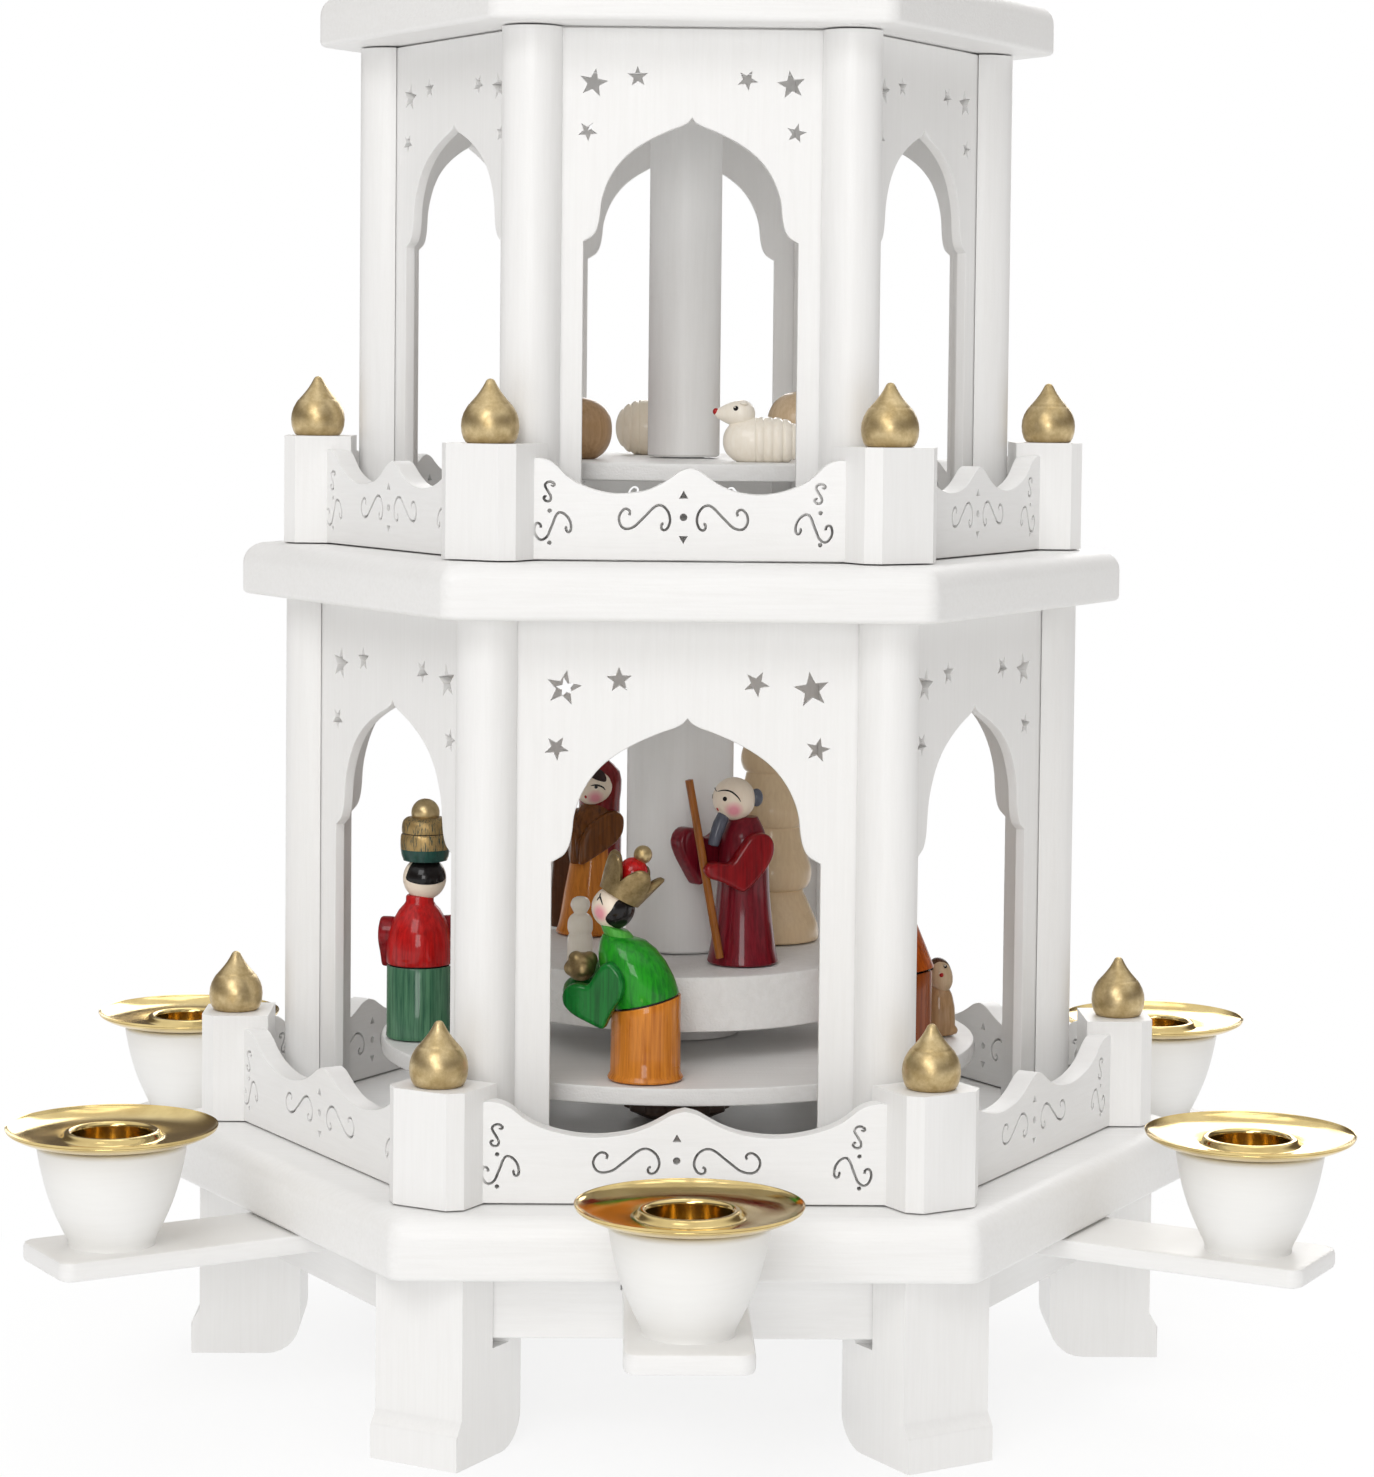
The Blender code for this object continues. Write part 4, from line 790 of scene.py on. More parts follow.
# %% Rails
POST_WIDTH = 15.5 * MM
WAVE = ((1, 1), (0.955, 1), (0.90, 0.975), (0.85, 0.92), (0.78, 0.815), (0.69, 0.735), (0.56, 0.672),
        (0.43, 0.655), (0.29, 0.686), (0.19, 0.75), (0.12, 0.82), (0.06, 0.885), (0, 0.915))
RAIL_HEIGHT, RAIL, TENON = 18.0 * MM, 4.0 * MM, 2.6 * MM
RAIL_BACK = 11.1 * MM
OFF_MIDDLE = -1.4
LONGEST = 35.4 * MM
for storey in storeys:
    outer = storey.deck_face - RAIL_BACK
    clear = outer * TAN_HALF - POST_WIDTH / 2 / COS_HALF
    wave = [(clear * x, RAIL_HEIGHT * y) for x, y in curve(WAVE)]
    tenon = clear + TENON
    outline = [(-tenon, 0), (tenon, 0), (tenon, RAIL_HEIGHT)] + wave
    outline += [(-x, y) for x, y in wave[-2::-1]] + [(-tenon, RAIL_HEIGHT)]
    size = min(clear / LONGEST, 1.0)
    off, small = OFF_MIDDLE * size, 0.55 + 0.45 * size
    ends = [(side * (clear / MM - 3.6), side) for side in SIDES]
    lines = [scroll(side * 8.9 * size + off, 7.7, 11.6 * size, 4.5, mirror=-side) for side in SIDES]
    lines += [scroll(x - side * 0.7 + off, 6.0, 6.6, 3.9, -side * 0.32, mirror=-side) for x, side in ends]
    lines += [scroll(x + off, 12.1, 3.9 * small, 1.8 * small, math.radians(78)) for x, _ in ends]
    holes = [pip(off, 11.5, 0.95, 3, math.pi / 2), pip(off, 7.7, 0.7, 10),
             pip(off, 3.9, 0.95, 3, -math.pi / 2)]
    holes += [pip(x + 0.3 + off, y, 0.42, 8) for x, _ in ends for y in (8.7, 3.0)]
    rail = piece(f"{storey.name}_rails", [(board(outline, holes, RAIL, 0.3 * MM), white_level)])
    drawing = drawn_lines(lines)
    run_tree(rail, saw_tree, Lines=drawing, Kerf=0.48 * MM, Depth=6.0 * MM, Finish=white_level)
    bpy.data.objects.remove(drawing, do_unlink=True)
    rail.data.transform(at(outer - RAIL / 2, 0, storey.floor) @ FACING_OUT)
    repeated(rail, white_level, first=30)
    hand_over(flattened(rail), "housing", "white_paint", f"{storey.name}_gallery")

# %% Posts and onion finials
ONION = ((0, 0), (0.76, 0), (0.84, 0.015), (0.92, 0.075), (0.98, 0.165), (1, 0.27), (0.98, 0.37),
         (0.915, 0.465), (0.80, 0.56), (0.735, 0.60), (0.695, 0.612), (0.685, 0.625), (0.60, 0.665),
         (0.47, 0.735), (0.345, 0.81), (0.25, 0.88), (0.185, 0.935), (0.15, 0.965), (0.09, 0.99), (0, 1))
POST_HEIGHT, POST_DEPTH, POST_BACK, CHAMFER = 20.5 * MM, 13.0 * MM, 8.9 * MM, 2.3 * MM
for storey in storeys:
    outer = storey.deck_face / COS_HALF - POST_BACK
    inner, half = outer - POST_DEPTH, POST_WIDTH / 2
    outline = [(inner, -half), (outer - CHAMFER, -half), (outer, CHAMFER - half), (outer, half - CHAMFER),
               (outer - CHAMFER, half), (inner, half)]
    post = moved(board(outline, (), POST_HEIGHT, SHARP), at(0, 0, storey.floor + POST_HEIGHT / 2))
    posts = ring(f"{storey.name}_posts", post, white_upright)
    hand_over(flattened(eased(posts, 0.38 * MM)), "housing", "white_paint")
    profile = [(5.2 * MM * r, storey.floor + POST_HEIGHT + 11.5 * MM * z) for r, z in ONION]
    onion = moved(turned(profile, 40), at(outer - 6.0 * MM, 0, 0))
    hand_over(ring(f"{storey.name}_finials", onion, gold, angle=60), "housing", "gold_paint")

# %% [markdown]
# ## Bearing, shaft and turntables
# The carousel turns on a steel needle in a small cup, let into a dark scalloped block on the base. The
# shaft runs up through thick white sleeves. The turntables are thin discs whose tops were painted over
# rough grain, and the lower one carries a step for the mother and the staff bearer.

# %% Dark stain and steel
dark_wood = wood_coat("dark_wood_stain", (0.10, 0.055, 0.035), (0.03, 0.016, 0.012), LEVEL, show=0.9,
                      relief=0.06, roughness=0.38)
steel = gold_coat("drawn_steel", (0.62, 0.62, 0.64), (0.45, 0.45, 0.47), 0.28)


# %% Bearing block and cup
def scalloped(bm, petals, depth):
    """Return a turned piece after its radius was swelled into petals."""
    for vert in bm.verts:
        angle = math.atan2(vert.co.y, vert.co.x)
        swell = 1 - depth * (1 - abs(math.cos(petals * angle / 2)))
        vert.co.x, vert.co.y = vert.co.x * swell, vert.co.y * swell
    return bm


def profile_in(node, rule):
    """Return a lathe profile in the place of a node, from a rule of its radius and height in mm."""
    low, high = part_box(node)
    return [(r * MM, low.z + z * MM) for r, z in rule(high.x / MM, (high.z - low.z) / MM)]


profile = profile_in("bearing_block", lambda r, h: [
    (0, 0), (6.5, 0), (10.4, 0.30 * h), (10.5, 0.5 * h), (9.0, 0.8 * h), (6.6, h), (4.35, h), (4.35, 0.5 * h),
    (0, 0.5 * h)])
block = piece("scalloped_block", [(scalloped(turned(profile, 120), 12, 0.13), dark_wood)], 50)
hand_over(block, "housing", "dark_wood", "bearing_block")
profile = profile_in("bearing_cup", lambda r, h: [
    (0, 0), (3.8, 0), (4.0, 0.2), (4.0, h - 0.2), (3.8, h), (2.1, h), (1.3, h - 0.7), (0.5, h - 1.1),
    (0, h - 1.2)])
hand_over(piece("needle_cup", [(turned(profile, 32), brass)]), "housing", "brass", "bearing_cup")

# %% Needle, shaft and sleeves
BORE = 4.25
profile = profile_in("needle", lambda r, h: [(0, 0), (0.25, 0.4), (0.95, 2.8), (1.0, 3.2), (1.0, h), (0, h)])
hand_over(piece("needle_point", [(turned(profile, 24), steel)], 60), "carousel", "steel", "needle")
profile = profile_in("shaft", lambda r, h: [(0, 0), (3.6, 0), (4.0, 0.4), (4.0, h), (0, h)])
hand_over(piece("shaft_rod", [(turned(profile, 32), white_upright)]), "carousel", "white_paint", "shaft")
for node in ("lower_column", "middle_column", "upper_column"):
    profile = profile_in(node, lambda r, h: [
        (BORE, 0), (r - 0.4, 0), (r, 0.4), (r, h - 0.4), (r - 0.4, h), (BORE, h)])
    sleeve_ring = piece(node + "_sleeve", [(turned(profile, 72, closed=True), white_upright)])
    hand_over(sleeve_ring, "carousel", "white_paint", node)
profile = profile_in("roof_bush", lambda r, h: [
    (BORE, 0), (6.5, 0), (6.5, h - 2.0), (8.7, h - 2.0), (9.0, h - 1.6), (9.0, h - 0.5), (8.4, h), (BORE, h)])
hand_over(piece("roof_bush_ring", [(turned(profile, 48, closed=True), brass)]), "housing", "brass",
          "roof_bush")

# %% Turntables and the step
TABLE = 3.3 * MM
TABLE_BORE = 4.3
for name in ("lower", "middle", "upper"):
    top = TABLE / MM
    profile = profile_in(f"{name}_turntable", lambda r, h: [
        (TABLE_BORE, 0), (r - 0.5, 0), (r - 0.15, 0.15), (r, 0.5), (r, top - 0.5), (r - 0.15, top - 0.15),
        (r - 0.5, top), (TABLE_BORE, top)])
    disc = piece(f"{name}_disc", [(turned(profile, 128, closed=True), white_table)])
    hand_over(flattened(disc), "carousel", "white_paint", f"{name}_turntable")
profile = profile_in("lower_step", lambda r, h: [
    (TABLE_BORE, 0), (12, 0), (12, 5.6), (r - 0.8, 5.6), (r - 0.2, 5.85), (r, 6.5), (r, h - 1.0),
    (r - 0.25, h - 0.3), (r - 1.0, h), (TABLE_BORE, h)])
round_step = piece("round_step", [(turned(profile, 128, closed=True), white_rough)])
hand_over(flattened(round_step), "carousel", "white_paint", "lower_step")

# %% [markdown]
# ## Rotor
# Above the photograph's edge, such a carousel has a hub with pitched wooden blades on round stems and
# a gold knob. Each blade turns in its hole, so each is its own piece on its own body. The blade is
# drawn once with its stem along +X, pitched, and the ring tree turns a copy to each blade's place.

# %% Hub and knob
hub_low, hub_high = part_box("rotor_hub")
hub_height = (hub_low.z + hub_high.z) / 2
LYING = Matrix.Rotation(math.pi / 2, 4, "Y")
profile = profile_in("rotor_hub", lambda r, h: [
    (0, h - 2.6), (4.3, h - 2.6), (4.3, 0), *[(14 - 2 * s, 2 * c) for c, s in rounding(5)],
    *[(14 - 2 * c, h - 2 * s) for c, s in rounding(5)], (0, h)])
hub = piece("hub_block", [(turned(profile, 96), white_upright)])
bore = turned([(r * MM, x * MM) for r, x in ((0, 6.6), (2.3, 6.6), (2.3, 16), (0, 16))], 24)
bores = ring("bore_tools", moved(bore, at(0, 0, hub_height) @ LYING), white_upright, count=8)
hand_over(flattened(cut(hub, bores)), "carousel", "white_paint", "rotor_hub")
profile = profile_in("rotor_cap", lambda r, h: [(8.5 * x, h * z) for x, z in ONION])
hand_over(piece("rotor_knob", [(turned(profile, 64), gold)], 60), "carousel", "gold_paint", "rotor_cap")

# %% Blades
blade_white = wood_coat("white_blade_grain", WHITE, SHADE, (140, 140, 900), show=0.26, relief=0.035)
BLADE_ROOT, BLADE_TIP, BLADE_START, BLADE_END = 7.0, 18.0, 22.0, 137.0
STEM = ((0, 7.2), (1.7, 7.2), (2.0, 7.6), (2.0, 26), (1.6, 30), (0, 30.6))
PITCH = 25
corner = [(BLADE_END - 6 * c, BLADE_TIP - 6 * s) for c, s in rounding(8)]
outline = [(BLADE_START, BLADE_ROOT - 1), (BLADE_START, 1 - BLADE_ROOT), (BLADE_START + 1, -BLADE_ROOT)]
outline += [(x, -y) for x, y in reversed(corner)] + corner + [(BLADE_START + 1, BLADE_ROOT)]
for k in range(8):
    vane = board([(x * MM, y * MM) for x, y in outline], (), 1.6 * MM, 0.35 * MM)
    stem = moved(turned([(r * MM, x * MM) for r, x in STEM], 20), LYING)
    pitched = at(0, 0, hub_height) @ Matrix.Rotation(math.radians(PITCH), 4, "X")
    blade = piece(f"vane_{k + 1}", [(moved(vane, pitched), blade_white), (moved(stem, pitched), blade_white)])
    repeated(blade, blade_white, first=45 * k, count=1)
    hand_over(flattened(blade), f"blade_{k + 1}", "white_paint", f"blade_{k + 1}")

# %% [markdown]
# ## Turned and painted figures
# Each figure is lathe work: a body and a ball for the head, with sawn sleeves glued to its sides, then
# dipped and painted by hand. They are drawn in millimetres, facing +X from a zero between their feet,
# and set down at the end. A body that leans is a stack of rings, each with its own shift and slant.
# What a brush put on a head, such as eyes or hair, is a thin film that follows the ball.


# %% Balls, bars and leaning bodies
def ball(centre, radius, tall=1.0, segments=40):
    """Return a ball, or an egg when it is stretched upright."""
    half = segments // 2
    profile = [(radius * math.sin(math.pi * i / half) if i % half else 0,
                -radius * tall * math.cos(math.pi * i / half))
               for i in range(half + 1)]
    return moved(turned(profile, segments), at(*centre))


def bar(points, radii, segments=20):
    """Return a round bar through the points; a radius of zero closes an end."""
    bm = bmesh.new()
    points = [Vector(point) for point in points]
    rings, side = [], None
    for i, radius in enumerate(radii):
        along = (points[min(i + 1, len(points) - 1)] - points[max(i - 1, 0)]).normalized()
        side = along.orthogonal() if side is None else side - along * side.dot(along)
        side.normalize()
        angles = [math.tau * j / segments for j in range(segments if radius else 1)]
        rings.append([bm.verts.new(points[i] + (side * math.cos(a) + along.cross(side) * math.sin(a)) * radius)
                      for a in angles])
    return skinned(bm, rings)


def leaning(rings, segments=64):
    """Return a body through rings of height, shift along X, radius and slant."""
    bm = bmesh.new()
    loops = []
    for height, shift, radius, slant in rings:
        angles = [math.tau * i / segments for i in range(segments if radius else 1)]
        loops.append([bm.verts.new((shift + radius * math.cos(a), radius * math.sin(a),
                                    height - slant * radius * math.cos(a))) for a in angles])
    return skinned(bm, loops)


def banded(bm, limits, slant=0.0):
    """Number the faces by the height limits that they lie above, for a row of finishes."""
    for face in bm.faces:
        middle = face.calc_center_median()
        face.material_index = sum(middle.z + slant * middle.x > limit for limit in limits)
    return bm


# %% Sanded shapes
def sanded(bm, grain=0.36, rounds=7):
    """Return a rough shape after its parts are merged and its edges worn round, as sanding leaves it."""
    rough = piece("rough", [(bm, white_upright)])
    even = rough.modifiers.new("even", "REMESH")
    even.mode, even.voxel_size = "VOXEL", grain
    worn = rough.modifiers.new("worn", "SMOOTH")
    worn.factor, worn.iterations = 0.5, rounds
    settled(rough)
    result = bmesh.new()
    result.from_mesh(rough.data)
    bpy.data.objects.remove(rough, do_unlink=True)
    return result


def leant(bm, start, over, x, y):
    """Return the bmesh with what is above a height leaning by (x, y) over a further height."""
    for vert in bm.verts:
        share = max(vert.co.z - start, 0) / over
        vert.co.x, vert.co.y = vert.co.x + x * share, vert.co.y + y * share
    return bm


# %% Paint on a ball
def on_ball(radius, azimuth, elevation):
    """Return a point on a ball about zero, from degrees round from +X and up from level."""
    a, e = math.radians(azimuth), math.radians(elevation)
    return Vector((math.cos(e) * math.cos(a), math.cos(e) * math.sin(a), math.sin(e))) * radius


def film(radius, outline, lift=0.07, rings=5):
    """Return a film of paint inside an outline of (azimuth, elevation) points on a ball."""
    bm = bmesh.new()
    count = len(outline)
    azimuth, elevation = sum(p[0] for p in outline) / count, sum(p[1] for p in outline) / count
    loops = [[bm.verts.new(on_ball(radius + lift, azimuth, elevation))]]
    for share, rise in [(i / rings, lift) for i in range(1, rings)] + [(0.96, 0.8 * lift), (1.0, -lift)]:
        loops.append([
            bm.verts.new(on_ball(radius + rise, azimuth + (a - azimuth) * share,
                                 elevation + (e - elevation) * share))
            for a, e in outline])
    loops.append([bm.verts.new(on_ball(radius * 0.8, azimuth, elevation))])
    return skinned(bm, loops)


def dab(radius, azimuth, elevation, wide, tall):
    """Return an oval film; its half width and half height are in degrees."""
    turns = [math.tau * i / 20 for i in range(20)]
    level = math.cos(math.radians(elevation))
    outline = [(azimuth + wide * math.cos(t) / level, elevation + tall * math.sin(t)) for t in turns]
    return film(radius, outline, rings=3)


def stroke(radius, track, width):
    """Return a brush stroke along (azimuth, elevation) points, fading out at both ends."""
    line = curve(track, 4)
    last = len(line) - 1
    widths = [width * math.sin(math.pi * i / last) ** 0.6 if 0 < i < last else 0 for i in range(len(line))]
    return bar([on_ball(radius, *point) for point in line], widths, 8)


# %% [markdown]
# ## Stains, lacquers and blushed skin
# The coats on the figures are thin and glossy, so the grain still shows, and a clear coat gives the
# small sharp lights. Skin gets cheeks from an airbrush: a pink that fades with the distance from a
# point. The point is given in the tower's frame, which is what Object coordinates measure in here.

# %% Finishes of the figures
def lacquer(name, light, dark, show=0.8, roughness=0.30, relief=0.03, grain=UPRIGHT):
    """Return a glossy stain or paint under a clear coat."""
    return wood_coat(name, light, dark, grain, show, relief, roughness, fine=0.8,
                     Specular_IOR_Level=0.12, Coat_Weight=0.45, Coat_Roughness=0.07)


def blushed(name, size, *cheeks):
    """Return painted skin with soft cheeks of a size about points in the tower's frame."""
    material = wood_coat(name, (0.91, 0.79, 0.65), (0.84, 0.69, 0.54), UPRIGHT, 0.5, 0.02, 0.34,
                         Specular_IOR_Level=0.3, Coat_Weight=0.2, Coat_Roughness=0.12)
    tree = material.node_tree
    shader = tree.nodes["Principled BSDF"]
    place = step(tree, "ShaderNodeTexCoord", out="Object")
    colour = shader.inputs["Base Color"].links[0].from_socket
    for cheek in cheeks:
        gap = step(tree, "ShaderNodeVectorMath", {0: place, 1: cheek}, out="Value", operation="DISTANCE")
        colour = blend(tree, between(tree, gap, 0.35 * size, size, 0.85, 0.0), colour, (0.80, 0.25, 0.34, 1))
    wire(shader, Base_Color=colour)
    return material


coat_green = lacquer("coat_green", (0.018, 0.33, 0.014), (0.004, 0.115, 0.014), show=1.0)
sleeve_green = lacquer("sleeve_green", (0.004, 0.19, 0.024), (0.001, 0.065, 0.010), show=1.0)
collar_green = lacquer("collar_green", (0.10, 0.44, 0.06), (0.035, 0.27, 0.028))
skirt_green = lacquer("skirt_green", (0.095, 0.235, 0.130), (0.012, 0.070, 0.042), show=1.0, roughness=0.36)
orange_stain = lacquer("orange_stain", (0.70, 0.25, 0.030), (0.40, 0.105, 0.010), show=1.0)
coat_red = lacquer("coat_red", (0.55, 0.010, 0.010), (0.24, 0.002, 0.003), show=1.0)
robe_wine = lacquer("robe_wine", (0.205, 0.009, 0.019), (0.080, 0.002, 0.008), show=1.0)
sleeve_wine = lacquer("sleeve_wine", (0.30, 0.005, 0.009), (0.10, 0.001, 0.004), show=1.0)
hood_red = lacquer("hood_red", (0.24, 0.005, 0.008), (0.085, 0.0015, 0.003))
coat_brown = lacquer("coat_brown", (0.20, 0.064, 0.009), (0.085, 0.024, 0.004), show=1.0)
cloak_brown = lacquer("cloak_brown", (0.105, 0.036, 0.011), (0.042, 0.014, 0.005))
cloak_orange = lacquer("cloak_orange", (0.50, 0.095, 0.003), (0.22, 0.032, 0.002), show=1.0)
black_paint = lacquer("black_paint", (0.006, 0.005, 0.005), (0.012, 0.009, 0.009), roughness=0.26)
hair_brown = lacquer("hair_brown", (0.034, 0.012, 0.009), (0.014, 0.005, 0.004))
grey_paint = lacquer("grey_paint", (0.115, 0.125, 0.160), (0.070, 0.078, 0.105), roughness=0.4)
mouth_red = lacquer("mouth_red", (0.45, 0.015, 0.015), (0.30, 0.008, 0.008))
natural_wood = lacquer("natural_wood", (0.84, 0.66, 0.43), (0.74, 0.55, 0.34), show=0.7, relief=0.015)
cream_paint = lacquer("cream_paint", (0.90, 0.81, 0.66), (0.84, 0.72, 0.55), show=0.5, relief=0.015)
# Cream white of the fleece; small balls of it on the black eyes of the sheep and the sitting animal are
# painted highlights.
fleece_white = lacquer("fleece_white", (0.89, 0.83, 0.73), (0.80, 0.71, 0.58), show=0.5, relief=0.015)
tan_wood = lacquer("tan_wood", (0.50, 0.315, 0.165), (0.33, 0.185, 0.085), relief=0.015)
pale_tan = lacquer("pale_tan", (0.66, 0.50, 0.33), (0.52, 0.37, 0.22), relief=0.015)
print("figure finishes:", len([m for m in bpy.data.materials if m.node_tree and m.name.split("_")[0] in (
    "coat", "sleeve", "collar", "skirt", "robe", "hood", "cloak", "hair", "mouth", "tan", "pale", "fleece")]))


# %% Setting figures down
def standing(node, x, y, facing):
    """Return where a figure stands, on the foot of its CAD node, from millimetres and degrees."""
    return at(x * MM, y * MM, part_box(node)[0].z) @ around(facing) @ Matrix.Scale(MM, 4)


def figure(name, place, parts, slot, *nodes):
    """Set a figure's parts down as one piece that rides on the carousel."""
    made = piece(name, [(moved(bm, place), finish) for bm, finish in parts], 42)
    return hand_over(made, "carousel", slot, *nodes)


# %% Heads, sleeves and gifts
def head(place, centre, radius, skin_name, nod=0.0, brow=(), eye=(4.6, 5.5)):
    """Return a painted head's parts: skin with cheeks, two eyes, brows and a mouth."""
    own = at(*centre) @ Matrix.Rotation(math.radians(nod), 4, "Y")
    cheeks = [place @ own @ on_ball(radius, side * 58, -28) for side in SIDES]
    parts = [(ball((0, 0, 0), radius), blushed(skin_name, 0.50 * radius * MM, *cheeks))]
    parts += [(dab(radius, side * 33, 5, *eye), black_paint) for side in SIDES]
    parts += [(stroke(radius, [(side * a, e) for a, e in brow], 0.17), black_paint) for side in SIDES]
    parts.append((dab(radius, 0, -27, 4.2, 5.4), mouth_red))
    return [(moved(bm, own), finish) for bm, finish in parts], own


HAIR_LINE = [(112, -24), (150, -32), (180, -34), (210, -32), (248, -24), (250, 20), (240, 54), (180, 66),
             (120, 54), (110, 20)]


def hair(own, radius, outline, finish, lift=0.14, steps=4, rings=10):
    """Return painted hair inside an outline on a head."""
    return moved(film(radius, closed_curve(outline, steps), lift, rings), own), finish


def hinged(x, y, turn):
    """Return the place of a board that is drawn in (x, height) and turned about (x, y)."""
    return at(x, y, 0) @ around(turn) @ at(-x, 0, 0) @ ALONG_RADIUS


def sleeve(outline, thickness, x, y, turn):
    """Return a sawn and sanded sleeve whose outline of (x, height) stands upright, turned about (x, y)."""
    return moved(sanded(board(closed_curve(outline), (), thickness + 0.3, 0.5)), hinged(x, y, turn))


def sleeves(outline, thickness, x, y, turn, finish):
    """Return a pair of sleeves as parts."""
    return [(sleeve(outline, thickness, x, side * y, side * turn), finish) for side in SIDES]


def refitted(outline, wide, tall, x, z):
    """Return an outline scaled and shifted."""
    return [(px * wide + x, pz * tall + z) for px, pz in outline]


LUMPS = ((0, 0, 0, 2.7), (0.9, 0.5, 1.5, 1.5), (-1.5, -0.4, 1.2, 1.6), (0.4, -1.5, 0.9, 1.5),
         (-0.3, 1.6, -0.2, 1.6), (1.7, -0.2, -0.3, 1.5))


def gift(x, z, size=1.0):
    """Return a lumpy gold gift, modelled from balls pressed together."""
    balls = [ball((x + size * dx, size * dy, z + size * dz), size * r, segments=24) for dx, dy, dz,
             r in LUMPS]
    return [(sanded(joined(*balls), 0.3, 3), old_gold)]


# %% [markdown]
# ## The king in green
# He bows over his gift with his face lifted, so the coat leans forward from a slanted waist while the
# stained skirt under it stays upright. The crown is turned as a cup and its wall filed into petals:
# the wall's height follows a rule round the axis, steep at the notches and round at the tips.


# %% A crown of petals
def crown(low, high, foot, notch, tip, petals=5, wall=1.25):
    """Return a flared crown about Z; low and high are radii, foot, notch and tip are heights."""
    bm = bmesh.new()
    half, segments = wall / 2, 80

    def row(reach, share):
        """Return one ring of the wall, inside or outside the middle of its thickness."""
        line = []
        for i in range(segments):
            a = math.tau * i / segments
            edge = notch + (tip - notch) * (1 - abs(2 * ((petals * i / segments + 0.5) % 1) - 1) ** 2.2)
            z = foot + (edge - foot) * share
            flare = low + (high - low) * ((z - foot) / (tip - foot))
            line.append(bm.verts.new(((flare + reach) * math.cos(a), (flare + reach) * math.sin(a), z)))
        return line

    rows = [[bm.verts.new((0, 0, foot))]] + [row(half, s) for s in (0, 0.25, 0.5, 0.75, 0.94)]
    rows += [row(0.6 * half, 0.99), row(-0.6 * half, 0.99)] + [row(-half, s) for s in (0.94, 0.7, 0.45, 0.2)]
    return skinned(bm, rows + [[bm.verts.new((0, 0, foot + 0.2 * (notch - foot)))]])


# %% King in green
SLEEVE = ((6.5, 22.2), (4.6, 20.5), (3.9, 18.3), (4.4, 15.8), (6.2, 13.0), (7.5, 10.2), (8.0, 9.9),
          (10.4, 10.9), (13.4, 12.3), (15.2, 14.1), (15.4, 16.1), (14.3, 17.6), (12.6, 18.0), (11.0, 17.7),
          (10.6, 17.9), (9.6, 19.4), (8.2, 21.5))
place = standing("king_green", -6.79, -49.49, 180)
skirt = [(0, 0, 0, 0), (0, 0, 6.8, 0), (0.3, 0, 6.95, 0), (0.7, 0, 6.75, 0), (1.3, 0, 6.45, 0),
         (6, 0, 6.4, 0.02), (12, 0, 6.4, 0.16), (13.8, 0, 6.4, 0.24), (14.0, 0, 6.3, 0.24),
         (14.0, 0, 5.9, 0.24)]
coat = [(14.3, 0.05, 5.9, 0.24), (14.4, 0.1, 6.15, 0.24), (15.2, 0.4, 6.3, 0.20), (18, 1.3, 6.35, 0.12),
        (21, 2.5, 6.1, 0.08), (23.5, 3.5, 5.3, 0.05), (25.3, 4.3, 4.2, 0), (26.1, 4.9, 3.1, -0.1),
        (26.3, 5.0, 2.0, -0.1), (26.3, 5.0, 0, 0)]
robe = banded(leaning(skirt + coat, 72), (14.05, 14.34), slant=0.24)
collar = leaning([(25.6, 4.7, 0, 0), (25.6, 4.7, 2.7, -0.1), (26.4, 5.1, 2.9, -0.2), (27.5, 5.7, 2.8, -0.3),
                  (27.8, 5.8, 2.4, -0.3), (27.8, 5.8, 0, 0)], 40)
parts = [(robe, (orange_stain, black_paint, coat_green)), (collar, collar_green)]
CUFF = ((10.5, 12.9), (11.4, 13.0), (11.7, 16.9), (10.8, 17.1))
for side in SIDES:
    parts.append((sleeve(SLEEVE, 3.0, 3.0, side * 6.2, side * -16), sleeve_green))
    parts.append((moved(board(CUFF, (), 3.12, 0.02), hinged(3.0, side * 6.2, side * -16)), collar_green))
features, own = head(place, (6.2, 0, 31.3), 3.9, "skin_king_green", nod=-29,
                     brow=((24, 22), (33, 13), (44, 8), (60, -2)), eye=(2.0, 6.0))
hair_green = [(88, -40), (180, -46), (272, -40), (276, 0), (266, 38), (180, 44), (94, 38), (84, 0)]
parts += features + gift(11.9, 20.4) + [
    hair(own, 3.9, hair_green, black_paint, 0.16, 5), (moved(crown(3.4, 5.3, 2.3, 5.5, 9.2), own @ around(36)), old_gold),
    (moved(ball((0, 0, 7.2), 2.75, 1.1), own), coat_red), (moved(ball((0, 0, 11.1), 1.7), own), gold)]
figure("king_in_green", place, parts, "green_paint", "king_green")

# %% [markdown]
# ## The kings in red and in orange
# These two stand upright, so their bodies are plain lathe profiles. The red king is seen from behind:
# a streaked green skirt, a red coat with round shoulders, black hair, and a tall cap whose gold was
# dragged on with a dry brush, so the dark green under it shows through in vertical scratches.


